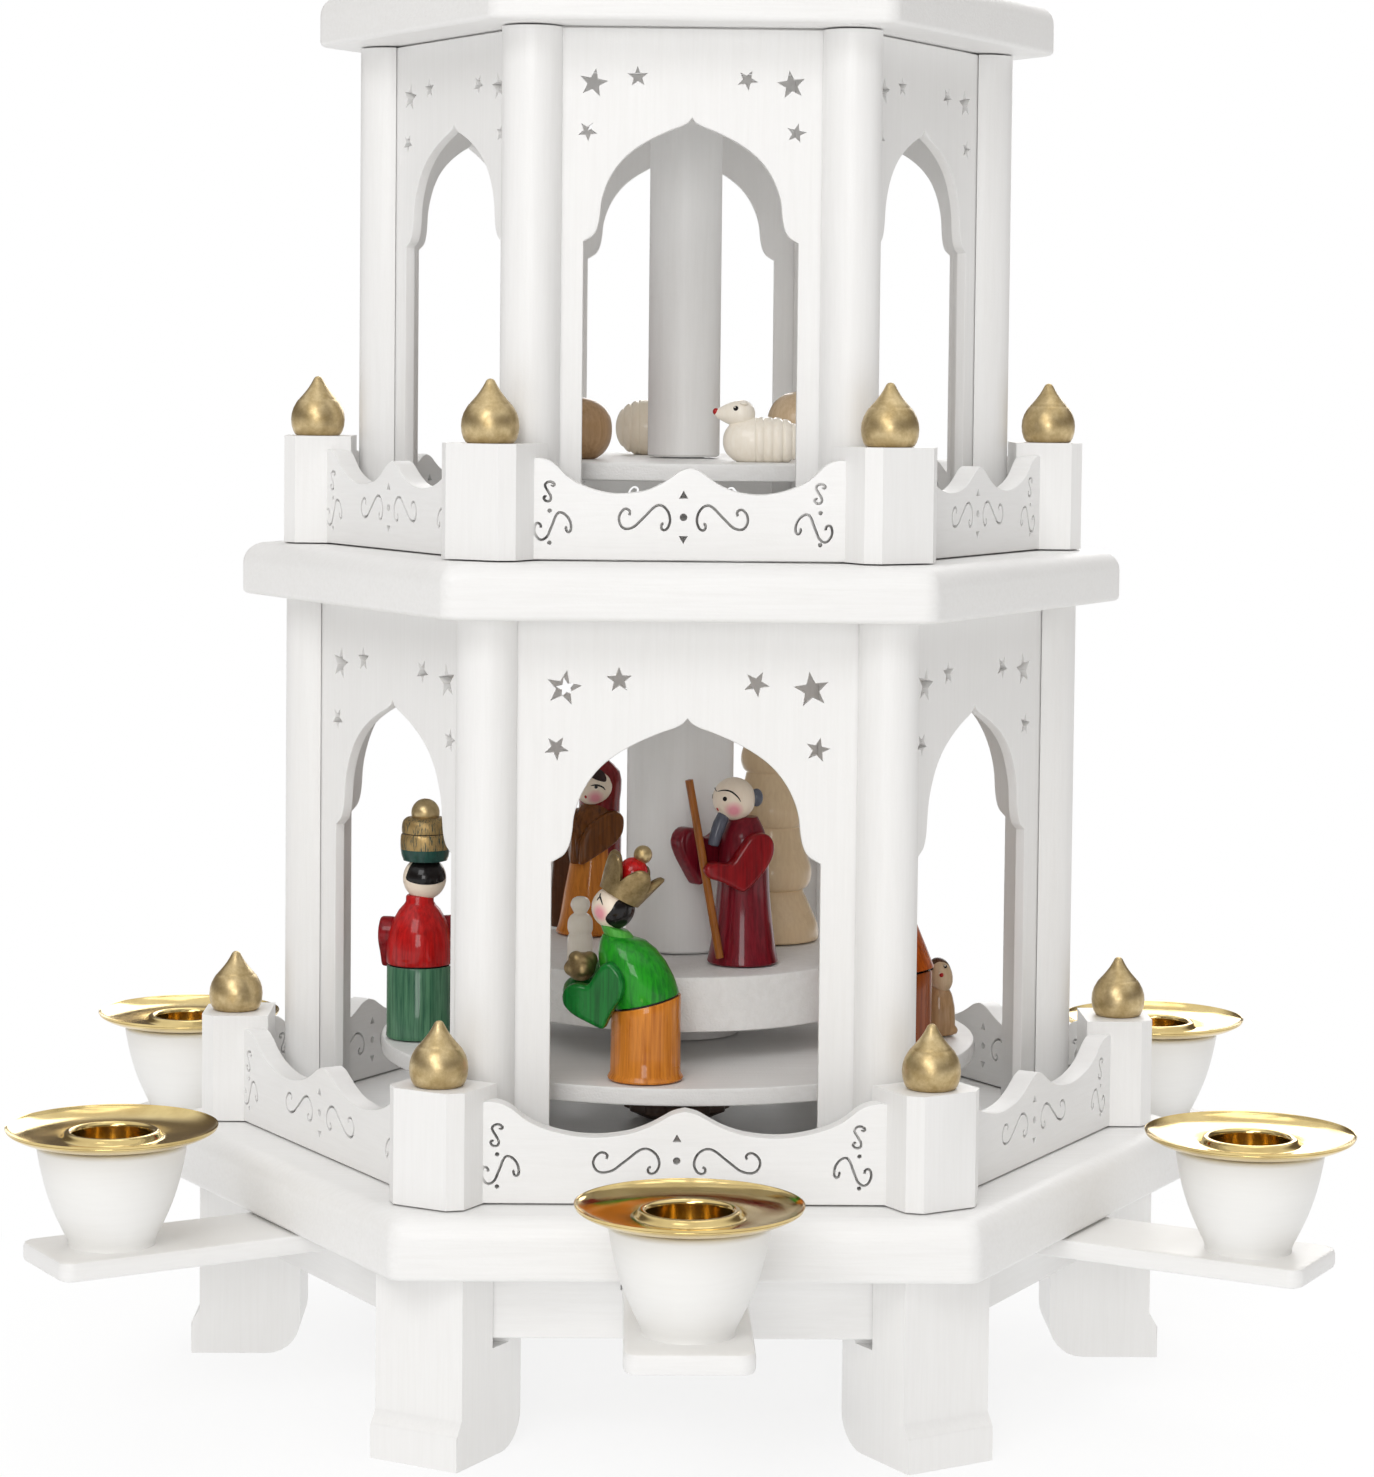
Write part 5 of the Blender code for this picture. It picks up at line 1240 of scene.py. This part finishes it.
# %% Dry-brushed gold
def dry_brushed(name, metal, under):
    """Return gold paint dragged over another colour, worn through in scratches."""
    material = gold_coat(name, metal, tuple(0.7 * c for c in metal), 0.4)
    tree = material.node_tree
    shader = tree.nodes["Principled BSDF"]
    place = step(tree, "ShaderNodeTexCoord", out="Object")
    run = step(tree, "ShaderNodeMapping", {"Vector": place, "Scale": (3600, 3600, 420)})
    scratch = step(tree, "ShaderNodeTexNoise", {"Vector": run, "Scale": 1.0, "Detail": 4.0, "Roughness": 0.7})
    worn = between(tree, scratch, 0.50, 0.60, 0.0, 1.0)
    colour = blend(tree, worn, shader.inputs["Base Color"].links[0].from_socket, (*under, 1))
    wire(shader, Base_Color=colour, Metallic=between(tree, worn, 0.0, 1.0, 0.8, 0.0))
    return material


brushed_gold = dry_brushed("dry_brushed_gold", (0.50, 0.34, 0.14), (0.020, 0.050, 0.040))

# %% King in red
PLAIN_BROW = ((20, 18), (34, 22), (50, 14))
place = standing("king_red", -50.30, -8.70, 100)
profile = [(0, 0), (6.25, 0), (6.4, 0.3), (6.32, 0.9), (6.3, 13.7), (6.15, 13.95), (6.0, 14.1), (6.15, 14.25),
           (6.35, 14.5), (6.38, 16.0), (6.25, 18.4), (5.85, 20.6), (5.1, 22.7), (4.0, 24.6), (3.1, 25.6),
           (2.72, 26.2), (2.68, 27.2), (2.4, 27.5), (0, 27.5)]
body = banded(turned(profile, 72), (13.9, 14.3))
cap = [(0, 34.1), (3.8, 34.1), (4.3, 34.5), (4.6, 35.3), (4.74, 36.3), (4.76, 36.6), (4.8, 37.6),
       (4.75, 38.9), (4.55, 39.35), (4.42, 39.5), (4.52, 39.75), (4.55, 40.6), (4.4, 41.6), (3.9, 42.3),
       (3.0, 42.6), (0, 42.6)]
cap_green = lacquer("cap_green", (0.018, 0.075, 0.060), (0.008, 0.030, 0.026))
cap = banded(moved(turned(curve(cap, 2), 64), at(0, -1.0, 0)), (36.5, 39.4, 39.62))
parts = [(body, (skirt_green, black_paint, coat_red)), (cap,
                                                        (cap_green, brushed_gold, black_paint, brushed_gold)),
         (ball((0, -1.0, 43.4), 2.75), gold)]
parts += sleeves(refitted(SLEEVE, 0.9, 0.82, -3.6, 4.9), 3.2, 0.5, 6.4, -20, sleeve_wine)
features, own = head(place, (0, -0.9, 30.7), 4.2, "skin_king_red", brow=PLAIN_BROW)
hair_red = [(116, 0), (150, -9), (180, -11), (210, -9), (244, 0), (246, 20), (238, 60), (180, 68), (122, 60),
            (116, 20)]
parts += features + gift(10.5, 21.0, 0.8) + [hair(own, 4.2, hair_red, black_paint)]
figure("king_in_red", place, parts, "red_paint", "king_red")

# %% King in orange
place = standing("king_orange", 40.61, -17.41, 150)
skirt = [(0, 0, 0, 0), (0, 0, 7.6, 0), (0.3, 0, 7.8, 0), (0.9, 0, 7.7, 0), (10, 0, 7.65, 0.05),
         (13.2, 0, 7.65, 0.22), (13.5, 0, 7.5, 0.22), (13.6, 0, 7.2, 0.22)]
cape = [(13.9, 0, 7.5, 0.22), (14.0, 0, 7.9, 0.22), (14.8, 0, 8.0, 0.12), (16.0, 0, 7.95, 0),
        (20, 0.15, 6.45, 0), (24, 0.3, 4.9, 0), (27.2, 0.5, 3.6, 0), (28.2, 0.6, 3.1, 0), (28.4, 0.6, 0, 0)]
body = banded(leaning(skirt + cape, 72), (13.55, 13.95), slant=0.22)
features, own = head(place, (0.9, 0, 31.0), 3.5, "skin_king_orange", brow=PLAIN_BROW)
skirt_rust = lacquer("skirt_rust", (0.33, 0.070, 0.005), (0.16, 0.028, 0.003), show=1.0)
parts = [(body, (skirt_rust, black_paint, cloak_orange)), *features, hair(own, 3.5, HAIR_LINE, hair_brown),
         (moved(crown(3.0, 4.1, 1.9, 4.0, 6.4, petals=7, wall=1.0), own), old_gold),
         (moved(ball((0, 0, 4.2), 2.3, 1.0), own), cloak_orange)]
parts += sleeves(refitted(SLEEVE, 0.85, 0.85, -1.0, 3.6), 2.6, 2.0, 6.1, -24,
                 cloak_orange) + gift(12.0, 21.3, 0.8)
figure("king_in_orange", place, parts, "orange_stain", "king_orange")

# %% [markdown]
# ## The mother, the staff bearer and what stands beside them
# Both stand on the round step. Her arms are two sawn half hearts that meet in front, and her cloak is
# a board behind her that reaches the floor. Her hood and veil are one leaning body behind the
# head, which comes through it as the face. His staff is a bar that leans through his folded sleeves.

# %% Mother
HEART_HALF = ((-1.7, 21.4), (-1.2, 19.6), (0.4, 17.9), (3.0, 16.2), (5.6, 14.6), (6.6, 14.1), (7.1, 14.8),
              (7.2, 16.8), (7.1, 19.0), (6.2, 21.2), (4.3, 23.2), (1.9, 24.6), (-0.3, 24.7), (-1.5, 23.4))
place = standing("mother", -17.81, 17.00, -120)
robe = turned(lathe_line([(0, 0), (6.3, 0), (6.5, 0.35), (6.1, 1.6), (5.5, 4.6), (4.95, 8.4), (4.5, 12.2),
                          (4.2, 15.0), (3.9, 18.0), (0, 19.0)]), 64)
coat = turned(lathe_line([(0, 17.2), (3.9, 17.4), (4.6, 18.4), (4.75, 20.2), (4.4, 22.6), (3.5, 24.8),
                          (2.5, 26.4), (0, 26.8)]), 56)
veil = leaning([(0.1, -1.6, 0, 0), (0.1, -1.6, 5.6, 0), (0.5, -1.6, 5.8, 0), (7, -1.9, 5.3, 0),
                (14.7, -2.1, 4.9, 0), (20, -2.0, 4.6, 0), (24, -1.7, 4.1, 0), (26.5, -1.4, 4.1, 0),
                (28.6, -1.2, 4.3, 0), (30.6, -1.1, 4.25, 0), (32.4, -1.1, 3.7, 0), (33.8, -1.0, 2.4, 0),
                (34.8, -0.9, 1.2, 0), (35.3, -0.8, 0, 0)], 56)
features, own = head(place, (0.9, 0, 29.4), 3.85, "skin_mother", brow=((16, 8), (32, 11), (52, 5), (64, -6)),
                     eye=(5.2, 5.2))
hair_mother = [(-66, 20), (-40, 24), (-14, 34), (0, 42), (14, 34), (40, 24), (66, 20), (72, 40), (60, 66),
               (0, 74), (-60, 66), (-72, 40)]
parts = [(robe, orange_stain), (coat, coat_brown), (veil, hood_red), *features,
         hair(own, 3.85, hair_mother, hair_brown, 0.12, 3, 8)]
parts += sleeves(HEART_HALF, 3.2, 0.0, 4.6, -42, coat_brown)
CLOAK = ((-9.4, 0.1), (1.5, 0.1), (1.5, 24.0), (-2.6, 25.4), (-3.6, 22.0), (-5.4, 18.6), (-9.4, 16.0))
parts.append((moved(sanded(board(CLOAK, (), 2.4, 0.3), 0.4, 4), at(-1.6, 0, 0) @ FACING_OUT), cloak_brown))
parts = [(leant(bm, 8.0, 22.0, -0.8, 1.35), finish) for bm, finish in parts]
figure("mother_in_veil", place, parts, "orange_stain", "mother")

# %% Staff bearer
NEAR_SLEEVE = ((-1.0, 25.3), (-2.3, 24.4), (-2.9, 22.5), (-2.3, 20.2), (-0.5, 17.4), (2.2, 14.7), (3.2, 14.2),
               (4.6, 14.8), (7.5, 16.2), (9.8, 17.0), (10.9, 18.3), (10.4, 19.6), (8.6, 20.0), (6.5, 19.7),
               (5.4, 20.0), (3.9, 22.2), (2.2, 24.5), (0.7, 25.3))
FAR_SLEEVE = ((-1.4, 24.6), (-2.5, 22.6), (-1.5, 20.2), (1.5, 18.2), (5.2, 16.4), (8.2, 15.0), (9.0, 15.0),
              (11.0, 17.8), (12.8, 20.6), (13.8, 23.0), (13.3, 25.0), (11.8, 26.1), (10.0, 25.9), (8.4, 24.6),
              (6.8, 23.8), (4.8, 24.0), (2.6, 25.2), (0.6, 25.6))
place = standing("staff_bearer", 11.89, -18.57, -150)
robe = [(0, 0), (6.6, 0), (6.8, 0.3), (6.7, 0.8), (6.25, 3.0), (5.6, 8.0), (5.1, 13.0), (4.9, 17.0),
        (4.75, 21.0), (4.2, 24.4), (3.3, 26.6), (2.6, 27.9), (0, 28.2)]
features, own = head(place, (2.3, 0, 31.4), 4.1, "skin_staff_bearer",
                     brow=((0, 22), (26, 28), (50, 25), (68, 11), (77, -3)), eye=(6.2, 6.2))
parts = [(turned(robe[:2] + lathe_line(robe[2:]), 72), robe_wine), *features,
         (sleeve(NEAR_SLEEVE, 3.4, 0.0, 5.2, -17), sleeve_wine),
         (sleeve(FAR_SLEEVE, 3.4, 0.0, -5.0, 9), robe_wine)]
BEARD = ((3.9, 0, 29.2), (4.6, 0, 28.3), (5.5, 0, 26.6), (6.2, 0, 24.8), (6.75, 0, 23.1), (6.85, 0, 22.7),
         (6.9, 0, 22.5))
parts.append((bar(BEARD, (0, 1.2, 1.3, 1.2, 1.1, 0.95, 0)), grey_paint))
parts.append((moved(ball((0, 0, 0), 1.25, 1.38, 28), own @ at(*on_ball(4.3, 152, 3))), grey_paint))
foot, top = Vector((7.0, 3.1, 1.5)), Vector((12.7, 0.5, 35.7))
staff = bar([foot.lerp(top, share) for share in (0, 0.005, 0.5, 0.995, 1)], (0, 0.78, 0.8, 0.78, 0), 16)
staff_stain = lacquer("staff_stain", (0.34, 0.11, 0.012), (0.17, 0.048, 0.006), show=1.0,
                      grain=(700, 700, 60))
figure("bearded_staff_bearer", place, parts + [(staff, staff_stain)], "dark_red_paint", "staff_bearer")

# %% Tree and lamb
TIERS = ((9.2, 0), (9.5, 0.5), (9.25, 3.0), (8.3, 5.2), (7.3, 7.5), (6.6, 8.9), (6.3, 9.8), (6.2, 10.0),
         (7.0, 10.4), (7.66, 11.4), (7.98, 13.0), (7.85, 14.4), (7.35, 15.9), (6.75, 18.0), (6.15, 20.2),
         (5.8, 22.0), (5.7, 22.5), (6.3, 22.9), (7.0, 24.1), (7.3, 25.7), (7.05, 27.2), (6.4, 29.2),
         (5.7, 31.2), (5.3, 32.8), (5.2, 33.3), (5.7, 33.7), (6.2, 34.8), (6.35, 36.2), (6.0, 37.8),
         (5.0, 40.4), (4.0, 42.6), (3.3, 44.2), (3.1, 44.8), (3.4, 45.3), (3.3, 46.2), (2.4, 47.3),
         (1.2, 47.9))
tree_turning = turned([(0, 0), *curve(TIERS, 3), (0, 48.0)], 72)
figure("ringed_tree", standing("tree", 18.57, 11.03, 0), [(tree_turning, natural_wood)], "natural_wood",
       "tree")
shape = ((0, 0), (2.0, 0), (2.15, 0.3), (2.05, 1.0), (1.95, 4.4), (1.85, 5.1), (1.72, 5.5), (1.86, 5.9),
         (1.98, 6.6), (1.9, 8.0), (1.5, 8.9), (1.02, 9.35), (1.15, 9.8), (1.48, 10.6), (1.5, 11.3),
         (1.2, 12.1), (0.6, 12.5), (0, 12.6))
lamb = turned(list(shape[:2]) + lathe_line(shape[2:]), 40)
figure("upright_lamb", standing("lamb", -19.15, -20.31, 190) @ Matrix.Diagonal((1.22, 1.22, 1, 1)),
       [(lamb, fleece_white)], "cream_paint", "lamb")

# %% Sitting animal
place = standing("sitting_animal", 51.06, -2.90, -100)
body = joined(leaning([(0, 0.2, 0, 0), (0, 0.2, 3.0, 0), (2.5, 0.15, 3.25, 0), (5.5, 0.1, 3.1, 0),
                       (7.8, 0.1, 2.6, 0), (9.4, 0.2, 1.7, 0), (10.2, 0.3, 0, 0)], 32),
              ball((0.8, 2.9, 0.9), 1.0, 0.9, 16), ball((2.6, -0.9, 0.9), 1.0, 0.9, 16))
own = at(0.6, 0.3, 11.5) @ Matrix.Rotation(math.radians(14), 4, "X")
parts = [(sanded(body, 0.3, 3), tan_wood), (moved(ball((0, 0, 0), 2.35, 1.42, 36), own), pale_tan),
         (moved(ball((-0.35, -0.1, 0.5), 2.34, 1.36, 36), own), cloak_brown)]
# The two small white balls on the front and top of the black eyes are painted highlights.
for radius, spot, finish in ((0.45, (2.15, 0.45, 0.4), mouth_red), (0.36, (1.6, -1.2, 2.0), black_paint),
                             (0.36, (1.5, 1.5, 1.8), black_paint), (0.13, (1.95, -1.25, 2.2), fleece_white),
                             (0.13, (1.85, 1.5, 2.0), fleece_white)):
    parts.append((moved(ball((0, 0, 0), radius, 1, 12), own @ at(*spot)), finish))
figure("sitting_animal_turned", place, parts, "orange_stain", "sitting_animal")

# %% [markdown]
# ## Sheep and shepherd on the middle turntable
# A sheep is two turnings: an egg for the head, and a body that lay along the lathe's axis, smooth at the
# chest and cut with rings for the fleece behind it. Its underside was planed flat, so it stands. The rings
# follow a rule along the body, so the profile is worked out from their pitch. Two sheep have rings, and two
# were left smooth.


# %% Sheep
def egg(back, front, radius):
    """Return an egg along X, fat at the back and slim at the front."""
    profile = []
    for i in range(21):
        x = -math.cos(math.pi * i / 20)
        narrow = 1 - 0.42 * max(x, 0) ** 1.4
        r = radius * math.sqrt(max(1 - x * x, 0)) * narrow if 0 < i < 20 else 0
        profile.append((r, x * (front if x > 0 else back)))
    return moved(turned(profile, 32), LYING)


def fleece(chest, rump, radius, middle, pitch=0, first=2.0):
    """Return a body along X, flat underneath, with rings of a pitch behind the chest."""
    steps, profile = 110, []
    for i in range(steps + 1):
        u = -math.cos(math.pi * i / steps)
        x = (chest + rump) / 2 + u * (chest - rump) / 2
        r = radius * max(1 - abs(u) ** 2.7, 0) ** (1 / 2.2)
        if pitch and x < first:
            r -= 0.36 * (1 - abs(math.sin(math.pi * (first - x) / pitch)) ** 0.6) * (1 - abs(u) ** 10)
        profile.append((r if 0 < i < steps else 0, x))
    bm = moved(turned(profile, 56), at(0, 0, middle) @ LYING)
    for vert in bm.verts:
        vert.co.z = max(vert.co.z, 0)
    return bm


def sheep(name, x, y, facing, body, neck_x, neck_z, coat, head_radius):
    """Set down a sheep with its head at the top of the neck, from its body and its finish."""
    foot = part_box("middle_turntable")[0].z + TABLE
    place = at(x * MM, y * MM, foot) @ around(facing) @ Matrix.Scale(MM, 4)
    parts = [(body, coat), (moved(egg(head_radius, 5.1, head_radius), at(neck_x, 0, neck_z)), coat)]
    nape = Vector((neck_x + 0.4, 0, neck_z - 1.2))
    parts.append((bar([nape + Vector((0, 0, z)) for z in (-3.2, -3.1, 0, 0.1)], (0, 2.3, 1.7, 0), 24), coat))
    parts.append((moved(ball((0, 0, 0), 0.62, 1.1, 16), at(neck_x + 4.75, 0, neck_z + 0.35)), mouth_red))
    for side in SIDES:
        # The small white ball on the front and top of each black eye is a painted highlight.
        for radius, tall, segments, (dx, dy, dz), finish in (
                (0.5, 1, 16, (1.1, 2.12, 1.0), black_paint), (0.15, 1, 10, (1.3, 2.58, 1.25), fleece_white),
                (0.75, 0.45, 16, (-0.4, 1.75, 1.9), coat)):
            spot = ball((0, 0, 0), radius, tall, segments)
            parts.append((moved(spot, at(neck_x + dx, side * dy, neck_z + dz)), finish))
    figure(name, place, parts, "white_paint")


sheep("ringed_sheep_white", 14.7, -28.05, 180, fleece(7.9, -7.3, 4.6, 3.9, 1.75), 4.5, 9.0, fleece_white, 2.6)
sheep("smooth_sheep_right", 24.83, 5.52, 15, fleece(6.6, -8.4, 6.8, 6.4), 5.3, 12.2, pale_tan, 2.5)
sheep("ringed_sheep_left", -5.06, 25.29, 0, fleece(7.0, -8.2, 5.8, 5.4, 1.6, -3.4), 4.3, 11.2, cream_paint,
      2.5)
sheep("smooth_sheep_left", -21.15, -16.55, 180, fleece(6.8, -7.2, 6.1, 5.6), 5.3, 11.2, tan_wood, 2.5)

# %% Shepherd
place = standing("shepherd", -25.75, -4.60, 160)
robe = [(0, 0), (5.0, 0), (5.15, 0.3), (5.0, 1.0), (4.5, 6.0), (4.1, 12.0), (3.9, 17.0), (3.6, 20.5),
        (2.9, 22.6), (2.2, 23.8), (0, 24.0)]
features, own = head(place, (0.8, 0, 26.8), 3.2, "skin_shepherd", brow=((18, 16), (34, 20), (52, 12)))
parts = [(turned(robe[:2] + lathe_line(robe[2:]), 64), robe_wine), *features]
parts += sleeves(refitted(SLEEVE, 0.72, 0.86, -1.8, 2.6), 2.5, 0.4, 4.4, -18, robe_wine)
parts.append(hair(own, 3.2, [(x, y - 6) for x, y in HAIR_LINE], hair_brown))
hat = [(0, 0.9), (3.4, 0.9), (4.7, 0.6), (4.9, 0.8), (4.8, 1.1), (3.3, 1.8), (3.0, 2.4), (2.7, 4.0),
       (2.2, 4.8), (1.2, 5.2)]
parts.append((moved(turned([*lathe_line(hat), (0, 5.3)], 48), own @ at(-0.3, 0, 0.2)), cloak_brown))
CROOK = ((7.2, 2.6, 0.3), (7.25, 2.58, 0.5), (7.8, 2.0, 16.0), (8.2, 1.6, 28.0), (8.25, 1.55, 28.3))
parts.append((bar(CROOK, (0, 0.62, 0.65, 0.62, 0), 14), tan_wood))
figure("shepherd_in_hat", place, parts, "dark_red_paint", "shepherd")

# %% [markdown]
# ## Angels on the upper turntable
# This storey is above the photograph's edge. Three small angels stand at even steps round the sleeve, in
# the same manner as the other figures: a turned bell, a ball for the head and two sawn wings.

# %% Three angels
WING = ((0.6, 9.0), (1.6, 8.6), (3.6, 10.4), (5.6, 13.6), (6.9, 17.4), (7.0, 20.6), (6.0, 21.6), (4.2, 20.4),
        (2.0, 17.6), (0.5, 15.4))
bell = [(0, 0), (5.0, 0), (5.2, 0.35), (5.0, 1.0), (4.2, 4.6), (3.4, 9.0), (2.8, 13.0), (2.6, 15.6),
        (2.1, 17.6), (1.6, 18.6), (0, 18.8)]
ANGEL_ARM = ((0.4, 2.6, 15.8), (0.5, 2.6, 15.7), (2.4, 1.9, 14.2), (3.9, 0.6, 14.6), (4.0, 0.5, 14.7))
for k in range(3):
    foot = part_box("upper_turntable")[0].z + TABLE
    place = around(120 * k) @ at(22.4 * MM, 0, foot) @ Matrix.Scale(MM, 4)
    features, own = head(place, (0.3, 0, 21.3), 2.75, f"skin_angel_{k + 1}",
                         brow=((20, 18), (36, 21), (50, 14)))
    parts = [(banded(turned(bell[:2] + lathe_line(bell[2:]), 48), (1.5,)), (gold, white_cup)), *features,
             hair(own, 2.75, HAIR_LINE, hair_brown)]
    for side in SIDES:
        outline = WING if side > 0 else [(-x, y) for x, y in WING[::-1]]
        wing = sanded(board(closed_curve(outline), (), 1.3, 0.3), 0.3, 3)
        parts.append((moved(wing, at(-2.6, 0, 0) @ around(side * 14) @ FACING_OUT), gold))
        arm = [(x, side * y, z) for x, y, z in ANGEL_ARM]
        parts.append((bar(arm, (0, 0.95, 0.9, 0.8, 0), 16), white_cup))
    parts.append((ball((4.2, 0, 15.0), 0.8, 1.0, 20), gold))
    figure(f"angel_{k + 1}", place, parts, "white_paint")

# %% [markdown]
# ## Floor, light and camera
# The object stands on a plain pale floor in a white room. A broad key light high on the left of the
# camera models the columns, and a smaller one beside the camera lifts the faces that look at it. One
# from above lights the tables, and one from behind shines through the arcades. Only the world's look
# to the camera is plain white: what it sends to the pieces is darker between the horizon and the
# ceiling, because a studio is, and polished brass shows it.

# %% Floor
bm = turned([(0, 0), (0.5, 0), (4.0, 0)], 96)
for face in bm.faces:
    if face.normal.z < 0:
        face.normal_flip()
floor_mesh = bpy.data.meshes.new("floor")
bm.to_mesh(floor_mesh)
bm.free()
floor = shown("floor", floor_mesh)
floor_finish = wood_coat("floor_paper", (0.93, 0.93, 0.93), (0.90, 0.90, 0.90), (30, 30, 30), show=0.2,
                         relief=0.01, roughness=0.7)
floor_mesh.materials.append(floor_finish)
tree = floor_finish.node_tree
place = step(tree, "ShaderNodeTexCoord", out="Object")
away = step(tree, "ShaderNodeVectorMath", {0: place}, out="Value", operation="LENGTH")
glow = step(tree, "ShaderNodeEmission", {"Color": (1, 1, 1, 1), "Strength": 1.0})
mixed = step(tree, "ShaderNodeMixShader", {
    0: between(tree, away, 0.05, 0.17, 0.72, 1.0), 1: tree.nodes["Principled BSDF"].outputs[0], 2: glow})
wire(tree.nodes["Material Output"], Surface=mixed)
floor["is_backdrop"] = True

# %% World
ROOM = ((0.0, (0.41, 0.405, 0.40)), (0.07, (0.30, 0.29, 0.28)), (0.16, (0.13, 0.105, 0.085)),
        (0.42, (0.17, 0.145, 0.12)), (0.62, (0.90, 0.90, 0.90)), (1.0, (1.0, 1.0, 1.0)))
world = bpy.data.worlds.new("white_room")
bpy.context.scene.world = world
world.use_nodes = True
tree = world.node_tree
direction = step(tree, "ShaderNodeTexCoord", out="Generated")
height = step(tree, "ShaderNodeSeparateXYZ", {"Vector": direction}, out="Z")
room = tree.nodes.new("ShaderNodeValToRGB")
wire(room, Fac=height)
stops = room.color_ramp.elements
for place, level in ROOM[1:-1]:
    stops.new(place)
for stop, (place, level) in zip(stops, ROOM):
    stop.position, stop.color = place, (*level, 1)
seen = step(tree, "ShaderNodeLightPath", out="Is Camera Ray")
back = tree.nodes["Background"]
wire(back, Color=blend(tree, seen, room.outputs["Color"], (1.0, 1.0, 1.0, 1)))
back.inputs["Strength"].default_value = 1.0


# %% Lights
def soft_light(name, place, target, size, power):
    """Add a square soft box that looks at a point."""
    data = bpy.data.lights.new(name, "AREA")
    data.shape, data.size, data.energy = "SQUARE", size, power
    light = shown(name, data)
    light.location = place
    light.rotation_euler = (Vector(target) - Vector(place)).to_track_quat("-Z", "Y").to_euler()


soft_light("key", (-0.48, -1.24, 1.02), (0, 0, 0.14), 0.7, 6.0)
soft_light("front", (-0.12, -1.48, 0.40), (0, 0, 0.12), 0.45, 4.0)
soft_light("top", (0.1, 0.2, 1.5), (0, 0, 0.2), 0.9, 3.6)
soft_light("back", (0.3, 1.35, 0.72), (0, 0, 0.12), 0.9, 8.0)

# %% Camera
eye = Vector((-13.4, -707.1, 190.9)) * MM
yaw, pitch, roll = math.radians(1.159), math.radians(3.1), math.radians(0.582)
forward = Vector((math.sin(yaw) * math.cos(pitch), math.cos(yaw) * math.cos(pitch), -math.sin(pitch)))
right = Vector((math.cos(yaw), -math.sin(yaw), 0))
up = right.cross(forward)
side = right * math.cos(roll) + up * math.sin(roll)
lift = up * math.cos(roll) - right * math.sin(roll)
camera = shown("camera", bpy.data.cameras.new("camera"))
camera.matrix_world = Matrix(((side.x, lift.x, -forward.x, eye.x), (side.y, lift.y, -forward.y, eye.y),
                              (side.z, lift.z, -forward.z, eye.z), (0, 0, 0, 1)))
camera.data.lens, camera.data.sensor_width = 88.48, 36.0
camera.data.shift_x, camera.data.shift_y = 0.0, -0.1136
camera.data.clip_start, camera.data.clip_end = 0.01, 50.0
bpy.context.scene.camera = camera
bpy.context.scene.view_settings.view_transform = "Standard"
print("camera at", [round(v, 4) for v in eye])

# %% [markdown]
# ## Size
# The last cell prints the box that the dressed part fills, in millimetres. The dressed
# part has to fill the same box as the CAD.

# %% Print the box
low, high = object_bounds()
print("visual box in mm:", [round(v / MM, 1) for v in (*low, *high)])
